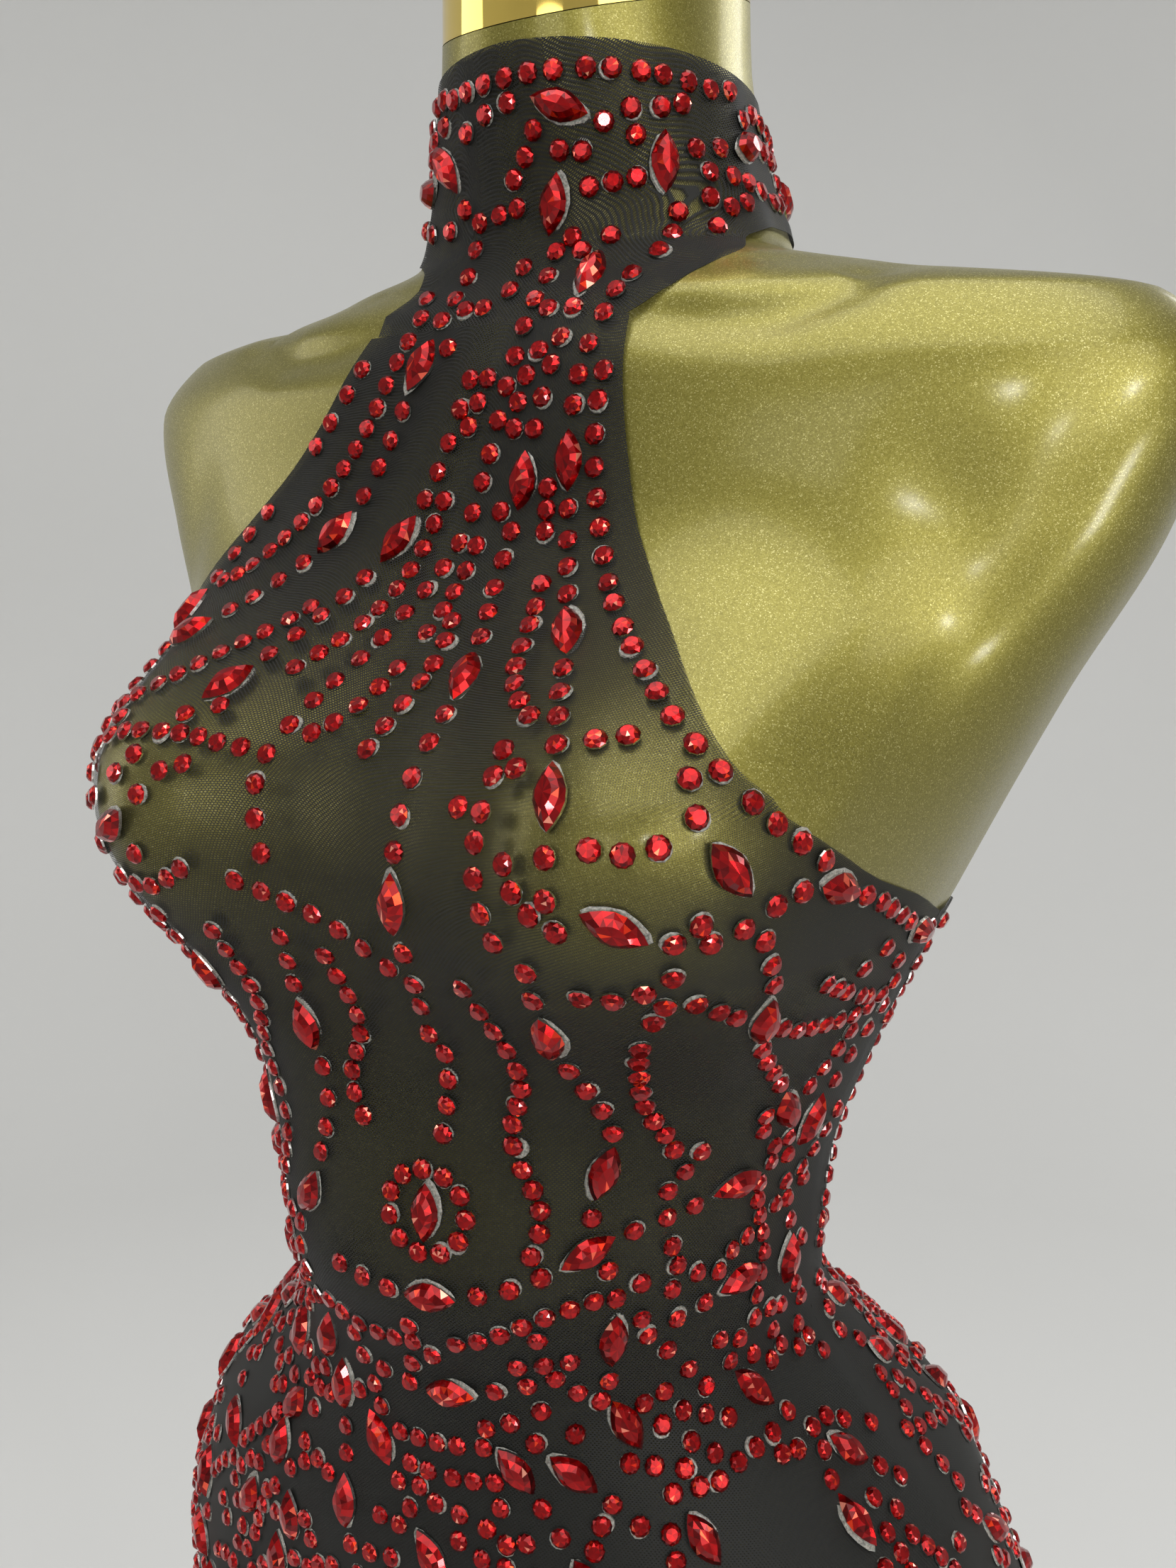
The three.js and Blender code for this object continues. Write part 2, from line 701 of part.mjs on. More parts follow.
const neckPlane = (y) => neckTop + neckSlant * (y + frontAt(neckTop));

// A point on the slanted cut of the neck
function neckRim(angle) {
  const passes = 8;
  let level = neckTop;
  for (let pass = 0; pass < passes; pass += 1) level = neckPlane(formPoint(angle, level).y);
  return formPoint(angle, level);
}

// The form's columns and levels run with the garment's, so that the net lies parallel to it
function formBody() {
  const garmentLevels = frontLevels.filter((level) => level >= formBottom && level < shoulderLevels[0]);
  const levels = [...garmentLevels.reverse(), ...shoulderLevels];
  const anglesAt = (level) => {
    const sideSeam = distanceRound(0, level);
    const behind = halfGirth(level) - sideSeam;
    return Array.from({ length: frontColumns + backColumns }, (_, i) => {
      const ahead = sideSeam * ((2 * i) / frontColumns - 1);
      const past = sideSeam + (2 * behind * (i - frontColumns)) / backColumns;
      const distance = i <= frontColumns ? ahead : past;
      const wrapped = distance > halfGirth(level) ? distance - 2 * halfGirth(level) : distance;
      return angleRound(wrapped, level);
    });
  };
  const rings = levels.map((level) => anglesAt(level).map((angle) => formPoint(angle, level)));
  const start = shoulderLevels[shoulderLevels.length - 1];
  for (const share of neckShares) {
    const levelAt = (angle) => start + share * (neckRim(angle).z - start);
    rings.push(anglesAt(start).map((angle) => formPoint(angle, levelAt(angle))));
  }
  return loft(rings);
}

function neckCap() {
  const ring = (rise, inset) =>
    Array.from({ length: roundSides }, (_, i) => {
      const point = neckRim((2 * Math.PI * i) / roundSides);
      const radius = Math.hypot(point.x, point.y);
      point.multiplyScalar((radius - inset) / radius);
      return point.setZ(neckPlane(point.y) + seamGap + rise);
    });
  const { height, edge } = cap;
  return loft([
    ring(0, 0),
    ring(height - edge, 0),
    ring(height - edge / 3, edge / 3),
    ring(height, edge),
  ]);
}

function turned(profile) {
  const points = profile.map(([radius, level]) => new THREE.Vector2(radius, level));
  const geometry = new THREE.LatheGeometry(points, roundSides);
  geometry.rotateX(half);
  return geometry;
}

function poleBody() {
  const foot = base.thickness + seamGap;
  const top = waistHeight + formBottom - seamGap;
  const { radius, plateRadius, plateThickness, footRadius } = pole;
  return turned([
    [0, foot],
    [footRadius, foot],
    [footRadius, foot + plateThickness],
    [radius, foot + plateThickness],
    [radius, top - plateThickness],
    [plateRadius, top - plateThickness],
    [plateRadius, top],
    [0, top],
  ]);
}

function baseBody() {
  const { radius, thickness, bevel } = base;
  return turned([
    [0, 0],
    [radius - bevel, 0],
    [radius, bevel],
    [radius, thickness - bevel],
    [radius - bevel, thickness],
    [0, thickness],
  ]);
}

// A small flat hook that holds the collar's two ends together at the nape
function napeHook() {
  const outline = new THREE.Shape();
  const end = hook.height / 2;
  const reach = hook.length / 2 - end;
  outline.absarc(reach, 0, end, -half, half, false);
  outline.absarc(-reach, 0, end, half, 3 * half, false);
  const geometry = new THREE.ExtrudeGeometry(outline, {
    depth: hook.thickness,
    bevelEnabled: false,
    curveSegments: 5,
  });
  geometry.rotateX(half);
  return geometry;
}

function closed(geometry) {
  const plain = geometry.clone();
  plain.deleteAttribute("normal");
  plain.deleteAttribute("uv");
  return mergeVertices(plain, 0.0001);
}

const finishes = {
  net: { color: 0x0d0e0b, roughness: 0.85, metalness: 0 },
  gold: { color: 0xa3903a, roughness: 0.32, metalness: 0.7 },
  mirror: { color: 0xc9a94e, roughness: 0.08, metalness: 1 },
  steel: { color: 0x9a9b9d, roughness: 0.3, metalness: 1 },
};

function piece(name, geometry, finish) {
  const shape = closed(geometry);
  shape.computeVertexNormals();
  const mesh = new THREE.Mesh(shape, new THREE.MeshStandardMaterial(finishes[finish]));
  mesh.name = name;
  return mesh;
}

const places = allPointedPlaces();
const placesOn = (name) => places.filter((place) => pieceOf(place) === name);

const stand = new THREE.Group();
stand.add(piece("dress_form", formBody(), "gold"));
stand.add(piece("neck_cap", neckCap(), "mirror"));
stand.add(piece("pole", poleBody(), "steel"));
stand.add(piece("base", baseBody(), "steel"));

const dress = new THREE.Group();
dress.add(piece("collar", strungPiece(collarCells(), placesOn("collar")), "net"));
const armholes = ["left", "right"].map(armholeCells);
dress.add(piece("front_panel", strungPiece(frontCells(), placesOn("front"), armholes), "net"));
dress.add(piece("back_panel", strungPiece(backCells(), placesOn("back")), "net"));

const hookLevels = { nape_hook_upper: 394, nape_hook_lower: 376 };
for (const [name, level] of Object.entries(hookLevels)) {
  const mesh = piece(name, napeHook(), "steel");
  const lift = clothClearance + clothThickness + seamGap + hook.thickness;
  const seat = clothPoint(half, level, lift);
  const lean = outwardAt(half, level);
  mesh.position.set(0, seat.y, seat.z + waistHeight);
  mesh.rotation.x = Math.atan2(lean.z, lean.y);
  dress.add(mesh);
}

const model = new THREE.Group();
model.add(stand, dress);

export default model;
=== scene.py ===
# %% [markdown]
# A bodycon mini dress of black stretch net on a gold dress form. The net is strung with red glass
# stones, round ones and long pointed ones. The form, the dress and its stones are all worked out from
# one figure: a short table of oval sections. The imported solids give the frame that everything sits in.

# %% Load the frame
import math
import bmesh
import bpy
import numpy as np
from mathutils import Matrix
from mathutils.kdtree import KDTree


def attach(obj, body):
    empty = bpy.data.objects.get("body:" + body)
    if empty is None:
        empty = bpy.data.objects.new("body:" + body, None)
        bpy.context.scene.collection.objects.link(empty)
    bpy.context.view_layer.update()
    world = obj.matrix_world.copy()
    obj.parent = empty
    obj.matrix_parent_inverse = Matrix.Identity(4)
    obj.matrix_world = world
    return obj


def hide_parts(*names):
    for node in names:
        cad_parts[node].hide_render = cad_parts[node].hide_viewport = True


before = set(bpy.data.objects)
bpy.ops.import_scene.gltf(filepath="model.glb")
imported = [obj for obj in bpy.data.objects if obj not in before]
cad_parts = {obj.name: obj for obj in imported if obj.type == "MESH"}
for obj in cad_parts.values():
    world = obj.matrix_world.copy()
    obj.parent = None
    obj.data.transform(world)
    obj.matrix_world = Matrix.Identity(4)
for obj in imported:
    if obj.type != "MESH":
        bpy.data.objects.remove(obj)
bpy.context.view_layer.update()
print("solids:", sorted(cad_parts))

# %% [markdown]
# The dress is seen from its left front, a little from above. A phone's wide lens stands less than half a
# metre away, so the camera is placed from its distance, its heading and its tilt, and not by eye.

# %% Camera
MM = 0.001
WAIST = 1020
PICTURE = (1659, 2212)
LONG_SIDE = 36.0
FOCAL_PIXELS = 1840.8
camera_place = np.array([234.8, -394.0, 256.5])
camera_heading, camera_tilt, camera_roll = np.radians([30.88, -9.56, 0.6])

forward = np.array([
    -math.sin(camera_heading) * math.cos(camera_tilt),
    math.cos(camera_heading) * math.cos(camera_tilt),
    math.sin(camera_tilt),
])
level_right = np.array([math.cos(camera_heading), math.sin(camera_heading), 0])
level_up = np.cross(level_right, forward)
right = math.cos(camera_roll) * level_right + math.sin(camera_roll) * level_up
up = math.cos(camera_roll) * level_up - math.sin(camera_roll) * level_right

lens_data = bpy.data.cameras.new("camera")
lens_data.sensor_width = LONG_SIDE
lens_data.lens = FOCAL_PIXELS / max(PICTURE) * LONG_SIDE
camera = bpy.data.objects.new("camera", lens_data)
bpy.context.scene.collection.objects.link(camera)
turn = Matrix([[right[k], up[k], -forward[k]] for k in range(3)]).to_4x4()
camera.matrix_world = Matrix.Translation((camera_place + [0, 0, WAIST]) * MM) @ turn
bpy.context.scene.camera = camera
print("lens", round(lens_data.lens, 2), "mm")

# %% [markdown]
# The figure is a stack of ovals. Each has a half width, a depth in front and one behind, and a number
# that says how square it is. Smooth curves join the rows. Levels are in millimetres from the waist.

# %% The figure's sections
SECTION_COLUMNS = ("level", "side", "front", "back", "squareness")
SECTION_ROWS = [
    (-450, 148, 86, 90, 2.2),
    (-300, 158, 90, 100, 2.3),
    (-230, 168, 96, 116, 2.3),
    (-180, 171, 100, 126, 2.3),
    (-120, 168, 108, 126, 2.3),
    (-60, 146, 109, 120, 2.2),
    (-20, 110, 106, 86, 2.2),
    (10, 89, 108, 62, 2.2),
    (50, 90, 118, 60, 2.2),
    (100, 104, 112, 83, 2.2),
    (160, 130, 101, 104, 2.3),
    (220, 158, 84, 112, 2.3),
    (270, 184, 72, 116, 2.2),
    (310, 195, 66, 112, 2.1),
    (330, 179, 57, 106, 2),
    (343, 109, 48, 102, 1.9),
    (354, 66, 45, 95, 1.9),
    (368, 58, 46, 86, 2),
    (385, 53, 50, 72, 2),
    (420, 48, 54, 57, 2),
    (500, 46, 55, 52, 2),
]
BUST = {"aside": 71, "level": 190, "depth": 54, "spread": 56, "above": 48, "below": 62, "outward": 0.25}
BUST_ACROSS, BUST_UPRIGHT, BUST_FADE = 2.4, 2.2, 1.6
FORM_BOTTOM, NECK_TOP, HEM, THROAT_SEAM = -280, 412, -430, 326
HALF = math.pi / 2


def curve(rows, key, column):
    """A smooth curve through a table's column that never overshoots its rows."""
    rows = sorted(rows, key=lambda row: row[key])
    at = np.array([row[key] for row in rows], float)
    value = np.array([row[column] for row in rows], float)
    rise = np.diff(value) / np.diff(at)
    slope = np.concatenate([rise[:1], np.zeros(len(at) - 2), rise[-1:]])
    for i in range(1, len(at) - 1):
        if rise[i - 1] * rise[i] > 0:
            slope[i] = 2 * rise[i - 1] * rise[i] / (rise[i - 1] + rise[i])

    def read(where):
        place = np.clip(where, at[0], at[-1])
        i = np.clip(np.searchsorted(at, place, side="left") - 1, 0, len(at) - 2)
        span = at[i + 1] - at[i]
        t = (place - at[i]) / span
        near = (1 + 2 * t) * (1 - t) ** 2 * value[i] + t * (1 - t) ** 2 * span * slope[i]
        return near + t * t * (3 - 2 * t) * value[i + 1] + t * t * (t - 1) * span * slope[i + 1]

    return read


side_at, front_at, back_at, squareness_at = (
    curve(SECTION_ROWS, 0, SECTION_COLUMNS.index(name)) for name in SECTION_COLUMNS[1:]
)


def form_point(angle, level):
    """Points on the form. The angle is 0 at its left side and -90 degrees at the centre front."""
    angle, level = np.broadcast_arrays(np.asarray(angle, float), np.asarray(level, float))
    power = 2 / squareness_at(level)
    across, deep = np.cos(angle), np.sin(angle)
    flat_x = side_at(level) * np.sign(across) * np.abs(across) ** power
    depth = np.where(deep < 0, front_at(level), back_at(level))
    x, y = flat_x.copy(), depth * np.sign(deep) * np.abs(deep) ** power
    rise = level - BUST["level"]
    reach = np.abs(rise) / np.where(rise > 0, BUST["above"], BUST["below"])
    for hand in (-1, 1):
        off = np.abs(flat_x * hand - BUST["aside"]) / BUST["spread"]
        fade = np.clip(-deep * BUST_FADE, 0, 1)
        swell = np.exp(-(off ** BUST_ACROSS + reach ** BUST_UPRIGHT)) * fade
        y = y - BUST["depth"] * swell
        x = x + hand * BUST["outward"] * BUST["depth"] * swell
    return np.stack([x, y, level + 0 * x], -1)


# The neck is cut on a slant: it rises this much for each millimetre further back
NECK_SLANT = 0.3
NECK_BASE = 392
RIM_STEPS = 8


def neck_plane(depth):
    return NECK_TOP + NECK_SLANT * (depth + front_at(NECK_TOP))


def neck_rim(angle):
    """The level at which the slanted cut meets the neck."""
    level = np.full(np.shape(angle), float(NECK_TOP))
    for _ in range(RIM_STEPS):
        level = neck_plane(form_point(angle, level)[..., 1])
    return level


print("waist", 2 * side_at(50), "mm wide")

# %% [markdown]
# Taut net doesn't sink between the busts: it spans them. So the cloth's resting line is the figure's,
# pulled most of the way forward to the foremost point at each level. A little lift keeps it off the form.

# %% Where the net rests
BRIDGING = 0.75
FOREMOST_TURN = 75
LOWEST, HIGHEST = -460, 460
TURN_STEPS = 180
level_steps = np.arange(LOWEST, HIGHEST + 1.0, 1.0)
search = form_point(-HALF + np.radians(np.arange(FOREMOST_TURN))[None, :], level_steps[:, None])
foremost = search[np.arange(len(level_steps)), search[..., 1].argmin(1)]


def resting_point(angle, level):
    point = form_point(angle, level)
    tip_x = np.interp(level, level_steps, foremost[:, 0])
    tip_y = np.interp(level, level_steps, foremost[:, 1])
    spanned = (np.sin(angle) < 0) & (np.abs(point[..., 0]) < tip_x)
    point[..., 1] += np.where(spanned, BRIDGING * (tip_y - point[..., 1]), 0)
    return point


def outward_at(place, angle, level):
    """The direction straight out of a surface that a function of angle and level gives."""
    step, rise = 0.02, 2
    around = place(angle + step, level) - place(angle - step, level)
    upward = place(angle, level + rise) - place(angle, level - rise)
    out = np.cross(around, upward)
    return out / np.linalg.norm(out, axis=-1, keepdims=True)


turns = np.linspace(0, np.pi, TURN_STEPS + 1)
lines = resting_point((-HALF + turns)[None, :], level_steps[:, None])
lengths = np.cumsum(np.linalg.norm(np.diff(lines, axis=1)[..., :2], axis=-1), axis=1)
girths = np.concatenate([np.zeros((len(level_steps), 1)), lengths], axis=1)


def girth_row(level):
    return girths[np.clip(np.rint(level) - LOWEST, 0, len(level_steps) - 1).astype(int)]


def angle_round(distance, level):
    """The angle that a distance round the cloth from the centre front reaches."""
    distance, level = np.broadcast_arrays(np.asarray(distance, float), np.asarray(level, float))
    flat = [
        math.copysign(np.interp(abs(d), girth_row(z), turns), d)
        for d, z in zip(distance.ravel(), level.ravel())
    ]
    return -HALF + np.array(flat).reshape(distance.shape)


def distance_round(angle, level):
    angle, level = np.broadcast_arrays(np.asarray(angle, float), np.asarray(level, float))
    flat = [
        math.copysign(np.interp(abs(a + HALF), turns, girth_row(z)), a + HALF)
        for a, z in zip(angle.ravel(), level.ravel())
    ]
    return np.array(flat).reshape(angle.shape)


print("half the hip girth", round(float(girth_row(-150)[-1])), "mm")

# %% [markdown]
# A real net is never quite flat: it pulls into soft ridges where it is stretched from one point to
# another. Each crease here is one row: where it starts and ends, how wide it is and how high.

# %% Main creases
CREASE_COLUMNS = ("from round", "from level", "to round", "to level", "width", "height")
CREASE_ROWS = [
    (-4, 300, -9, 176, 5, 0.9),
    (9, 286, 6, 168, 4, 0.7),
    (-18, 236, -16, 150, 5, 0.8),
    (46, 318, 88, 214, 6, 0.8),
    (38, 312, 62, 236, 4, 0.5),
    (-44, 312, -92, 226, 6, 0.8),
    (-50, 330, 34, 323, 4, 0.9),
    (-28, 338, 58, 336, 4, 0.7),
    (-62, 346, -6, 350, 4, 0.8),
    (58, 350, 100, 372, 5, 0.9),
    (84, 352, 128, 374, 4, 0.7),
    (-96, 356, -58, 378, 5, 0.9),
    (176, 150, 96, 120, 6, 1.0),
    (182, 134, 112, 96, 5, 0.7),
    (-182, 146, -100, 118, 6, 0.9),
    (150, 52, 86, 34, 6, 0.9),
    (156, 34, 98, 10, 7, 1.1),
    (-154, 48, -88, 30, 6, 1.0),
    (-150, 22, -84, 2, 7, 1.0),
    (186, -40, 96, -68, 9, 1.0),
    (-190, -46, -102, -80, 9, 1.1),
    (60, -232, -58, -250, 9, 0.9),
    (150, -300, 60, -330, 8, 0.9),
    (-146, -290, -70, -318, 8, 0.8),
    (250, 66, 316, 58, 6, 1.2),
    (-246, 60, -312, 50, 6, 1.2),
    (236, 36, 310, 26, 7, 1.4),
    (-240, 30, -306, 18, 7, 1.3),
    (262, 8, 318, 0, 7, 1.1),
    (300, -206, 420, -232, 10, 1.5),
    (-296, -210, -418, -238, 10, 1.4),
    (290, -240, 400, -276, 9, 1.1),
    (-286, -248, -396, -270, 9, 1.2),
]
named_creases = [dict(zip(CREASE_COLUMNS, row)) for row in CREASE_ROWS]


def crease_height(distance, level):
    height = np.zeros(np.broadcast(distance, level).shape)
    for row in named_creases:
        run = np.array([row["to round"] - row["from round"], row["to level"] - row["from level"]], float)
        along_x, along_y = distance - row["from round"], level - row["from level"]
        share = np.clip((along_x * run[0] + along_y * run[1]) / (run @ run), 0, 1)
        off = np.hypot(along_x - share * run[0], along_y - share * run[1])
        taper = np.sin(np.pi * np.clip(share, 0.04, 0.96)) ** 0.7
        height = height + row["height"] * taper * np.exp(-((off / row["width"]) ** 2))
    return height


NET_LIFT, NET_THICKNESS = 0.9, 0.14


def cloth_point(angle, level, lift=0.0, creased=True):
    """Points on the net, moved out by lift."""
    ridge = crease_height(distance_round(angle, level), level) if creased else 0
    out = outward_at(resting_point, angle, level)
    return resting_point(angle, level) + out * np.asarray(lift + ridge)[..., None]


print(len(CREASE_ROWS), "creases")

# %% [markdown]
# Small helpers do the modelling by hand. One picks out an object, because the solids come in selected.
# One adds a modifier and applies it. One adds a flat grid and bends it to a surface, keeping each point's
# place on the cloth as its own map. One works on a mesh in edit mode.

# %% Modelling helpers


def deselect():
    bpy.ops.object.select_all(action="DESELECT")


def pick(obj):
    deselect()
    obj.select_set(True)
    bpy.context.view_layer.objects.active = obj


def apply_modifier(obj, kind, **settings):
    pick(obj)
    modifier = obj.modifiers.new("shape", kind)
    for name, value in settings.items():
        setattr(modifier, name, value)
    bpy.ops.object.modifier_apply(modifier=modifier.name)


def measured_map(points):
    """Distances over a grid of points, across from its middle column and down from its top row."""
    across = np.linalg.norm(np.diff(points, axis=1), axis=-1)
    u = np.concatenate([np.zeros((len(points), 1)), np.cumsum(across, axis=1)], axis=1)
    u -= u[:, [u.shape[1] // 2]]
    down = np.linalg.norm(np.diff(points, axis=0), axis=-1)
    v = np.concatenate([np.zeros((1, points.shape[1])), np.cumsum(down, axis=0)], axis=0)
    return u, v - v[-1].mean()


def bent_grid(name, points, u=None, v=None):
    """A flat grid whose rows and columns are moved to a grid of points, in mm from the waist."""
    rows, columns = points.shape[:2]
    deselect()
    bpy.ops.mesh.primitive_grid_add(x_subdivisions=columns - 1, y_subdivisions=rows - 1, size=2)
    obj = bpy.context.active_object
    obj.name = obj.data.name = name
    mesh = obj.data
    flat = np.zeros(len(mesh.vertices) * 3)
    mesh.vertices.foreach_get("co", flat)
    flat = flat.reshape(-1, 3)
    i = np.rint((flat[:, 0] + 1) / 2 * (columns - 1)).astype(int)
    j = np.rint((flat[:, 1] + 1) / 2 * (rows - 1)).astype(int)
    placed = (points[j, i] + [0, 0, WAIST]) * MM
    mesh.vertices.foreach_set("co", placed.astype(np.float32).ravel())
    if u is not None:
        corner = np.zeros(len(mesh.loops), np.int32)
        mesh.loops.foreach_get("vertex_index", corner)
        cloth_map = np.stack([u[j, i][corner], v[j, i][corner]], -1)
        mesh.uv_layers[0].data.foreach_set("uv", cloth_map.astype(np.float32).ravel())
        mesh.uv_layers[0].name = "cloth"
    mesh.update()
    return obj, j, i


def in_edit_mode(obj, *steps):
    pick(obj)
    bpy.ops.object.mode_set(mode="EDIT")
    bpy.ops.mesh.select_all(action="SELECT")
    for step in steps:
        step()
    bpy.ops.object.mode_set(mode="OBJECT")


# %% [markdown]
# Finishes are built from nodes. These helpers keep each one short: add a node, join sockets, and do a
# sum. Single values go straight on the shader's own sockets.

# %% Node helpers


class Finish:
    """A material with its shader and short ways to add nodes."""

    def __init__(self, name, **values):
        self.material = bpy.data.materials.new(name)
        self.material.use_nodes = True
        self.tree = self.material.node_tree
        self.shader = self.tree.nodes["Principled BSDF"]
        for socket, value in values.items():
            self.shader.inputs[socket.replace("_", " ")].default_value = value

    def add(self, kind, **settings):
        node = self.tree.nodes.new("ShaderNode" + kind)
        for name, value in settings.items():
            setattr(node, name, value)
        return node

    def join(self, source, target):
        self.tree.links.new(source, target)

    def sum(self, operation, first, second=None, third=None):
        node = self.add("Math", operation=operation)
        for socket, value in zip(node.inputs, (first, second, third)):
            if value is None:
                continue
            if isinstance(value, (int, float)):
                socket.default_value = value
            else:
                self.join(value, socket)
        return node.outputs[0]

    def noise(self, scale, detail=2.0, vector=None):
        node = self.add("TexNoise")
        node.inputs["Scale"].default_value = scale
        node.inputs["Detail"].default_value = detail
        source = vector or self.add("TexCoord").outputs["Object"]
        self.join(source, node.inputs["Vector"])
        return node.outputs["Fac"]

    def ramp(self, source, stops):
        node = self.add("ValToRGB")
        elements = node.color_ramp.elements
        while len(elements) < len(stops):
            elements.new(0.5)
        for element, (place, colour) in zip(elements, stops):
            element.position = place
            element.color = (*colour, 1)
        self.join(source, node.inputs["Fac"])
        return node.outputs["Color"]

    def paint(self, source, stops):
        self.join(self.ramp(source, stops), self.shader.inputs["Base Color"])

    def bump(self, height, strength, distance):
        node = self.add("Bump")
        node.inputs["Strength"].default_value = strength
        node.inputs["Distance"].default_value = distance
        self.join(height, node.inputs["Height"])
        self.join(node.outputs["Normal"], self.shader.inputs["Normal"])


# %% [markdown]
# The form is sprayed with gold lacquer: fine metal flakes under a clear coat. Each flake is one small
# cell with its own brightness and its own gloss, and slow noise makes the spray slightly uneven.

# %% Gold lacquer
FLAKE = 0.00027
gold = Finish(
    "gold_lacquer", Metallic=0.85, Coat_Weight=0.32, Coat_Roughness=0.16, Specular_IOR_Level=0.35
)
place = gold.add("TexCoord").outputs["Object"]
flakes = gold.add("TexVoronoi")
flakes.inputs["Scale"].default_value = 1 / FLAKE
gold.join(place, flakes.inputs["Vector"])
flake_value = gold.add("SeparateColor")
gold.join(flakes.outputs["Color"], flake_value.inputs["Color"])
cloudy = gold.sum("MULTIPLY_ADD", gold.noise(9.0, 3.0, place), 0.16, -0.08)
shade = gold.sum("ADD", flake_value.outputs[0], cloudy)
gold.paint(shade, [
    (0.0, (0.15, 0.131, 0.022)),
    (0.5, (0.195, 0.172, 0.034)),
    (0.9, (0.24, 0.214, 0.049)),
    (1.0, (0.42, 0.385, 0.15)),
])
gold.join(gold.sum("MULTIPLY_ADD", flake_value.outputs[1], 0.16, 0.33), gold.shader.inputs["Roughness"])
gold.bump(flakes.outputs["Distance"], 0.05, 0.0001)

# %% [markdown]
# The neck ends in a cap of polished brass. A mirror needs very little: hardly any roughness, and a faint
# ripple, because pressed metal is never quite flat. The stand is turned steel: its grain runs in rings.

# %% Polished brass and turned steel
RING_FINENESS, HEIGHT_FINENESS = 900.0, 1400.0
brass = Finish("polished_brass", Metallic=1.0, Roughness=0.045)
brass.paint(brass.noise(14.0), [(0.3, (0.86, 0.62, 0.13)), (0.7, (0.95, 0.74, 0.22))])
brass.bump(brass.noise(26.0, 1.0), 0.25, 0.002)

steel = Finish("brushed_steel", Metallic=1.0, Roughness=0.3)
steel_place = steel.add("SeparateXYZ")
steel.join(steel.add("TexCoord").outputs["Object"], steel_place.inputs[0])
side_x, side_y, rise = steel_place.outputs
squares = steel.sum("ADD", steel.sum("MULTIPLY", side_x, side_x), steel.sum("MULTIPLY", side_y, side_y))
rings = steel.add("CombineXYZ")
steel.join(steel.sum("MULTIPLY", steel.sum("SQRT", squares), RING_FINENESS), rings.inputs[0])
steel.join(steel.sum("MULTIPLY", rise, HEIGHT_FINENESS), rings.inputs[2])
grain = steel.noise(1.0, 3.0, rings.outputs[0])
steel.paint(grain, [(0.3, (0.36, 0.36, 0.37)), (0.7, (0.58, 0.58, 0.59))])
steel.join(steel.sum("MULTIPLY_ADD", grain, 0.2, 0.2), steel.shader.inputs["Roughness"])
steel.bump(grain, 0.12, 0.0002)

# %% [markdown]
# The net is knitted, with rows of small long holes, each row half a hole out of step. The holes are
# drawn on the cloth's own map in real millimetres: inside a hole the net is clear. It is stretched more
# over the bust than at the hip, so a value kept on every point says how far the holes open. The same
# value paints the threads lighter where they are stretched most, over the bust: a painted highlight.

# %% Black stretch net
HOLE_PITCH, ROW_PITCH = 1.25, 0.66
HOLE_WIDTH, HOLE_HEIGHT = 0.43, 0.42
WANDER, LEAST_STRETCH = 0.9, 0.4
net = Finish(
    "black_net", Roughness=0.65, Specular_IOR_Level=0.25, Sheen_Weight=0.04, Sheen_Roughness=0.4
)
cloth_map = net.add("UVMap", uv_map="cloth")
wander = net.add("TexNoise")
wander.inputs["Scale"].default_value = 0.02
wander.inputs["Detail"].default_value = 1.0
net.join(cloth_map.outputs[0], wander.inputs["Vector"])
spread = net.add("VectorMath", operation="MULTIPLY_ADD")
net.join(wander.outputs["Color"], spread.inputs[0])
spread.inputs[1].default_value = (WANDER, WANDER, 0)
net.join(cloth_map.outputs[0], spread.inputs[2])
thread = net.add("SeparateXYZ")
net.join(spread.outputs[0], thread.inputs[0])
row_place = net.sum("DIVIDE", thread.outputs[1], ROW_PITCH)
row_number = net.sum("FLOOR", row_place)
out_of_step = net.sum("MULTIPLY", net.sum("FLOORED_MODULO", row_number, 2.0), 0.5)
hole_place = net.sum("ADD", net.sum("DIVIDE", thread.outputs[0], HOLE_PITCH), out_of_step)
off_x = net.sum("SUBTRACT", net.sum("FRACT", hole_place), 0.5)
off_y = net.sum("SUBTRACT", net.sum("FRACT", row_place), 0.5)
openness_and_highlight = net.add("Attribute", attribute_name="openness_and_highlight").outputs["Fac"]
# Painted highlight: the thread colour gets lighter where the net is stretched open, most of all over the
# bust.
net.paint(net.sum("SUBTRACT", openness_and_highlight, LEAST_STRETCH), [
    (0.25, (0.0065, 0.0068, 0.0055)),
    (0.45, (0.010, 0.010, 0.008)),
    (0.80, (0.030, 0.030, 0.024)),
])
across = net.sum("DIVIDE", off_x, net.sum("MULTIPLY", openness_and_highlight, HOLE_WIDTH))
upright = net.sum("DIVIDE", off_y, net.sum("MULTIPLY", openness_and_highlight, HOLE_HEIGHT))
inside = net.sum("ADD", net.sum("MULTIPLY", across, across), net.sum("MULTIPLY", upright, upright))
net.join(net.sum("GREATER_THAN", inside, 1.0), net.shader.inputs["Alpha"])
net.bump(net.sum("MINIMUM", inside, 2.0), 0.3, 0.0002)

# %% [markdown]
# Each stone is red glass with a foil back. What the eye sees in it is a patchwork: every facet throws
# back another piece of light. That light is painted: each facet carries its own number, and a ramp turns
# the number into deep crimson, red, orange or a pale spark, as painted reflections and painted glints.
# A clear coat gives the white glints of the polished top.

# %% Red glass, foil and glue
glass = Finish(
    "red_glass", Metallic=0.85, Roughness=0.18, IOR=1.5, Coat_Weight=0.3, Coat_Roughness=0.02,
    Specular_IOR_Level=0.2,
)
facet = glass.add("Attribute", attribute_name="facet").outputs["Fac"]
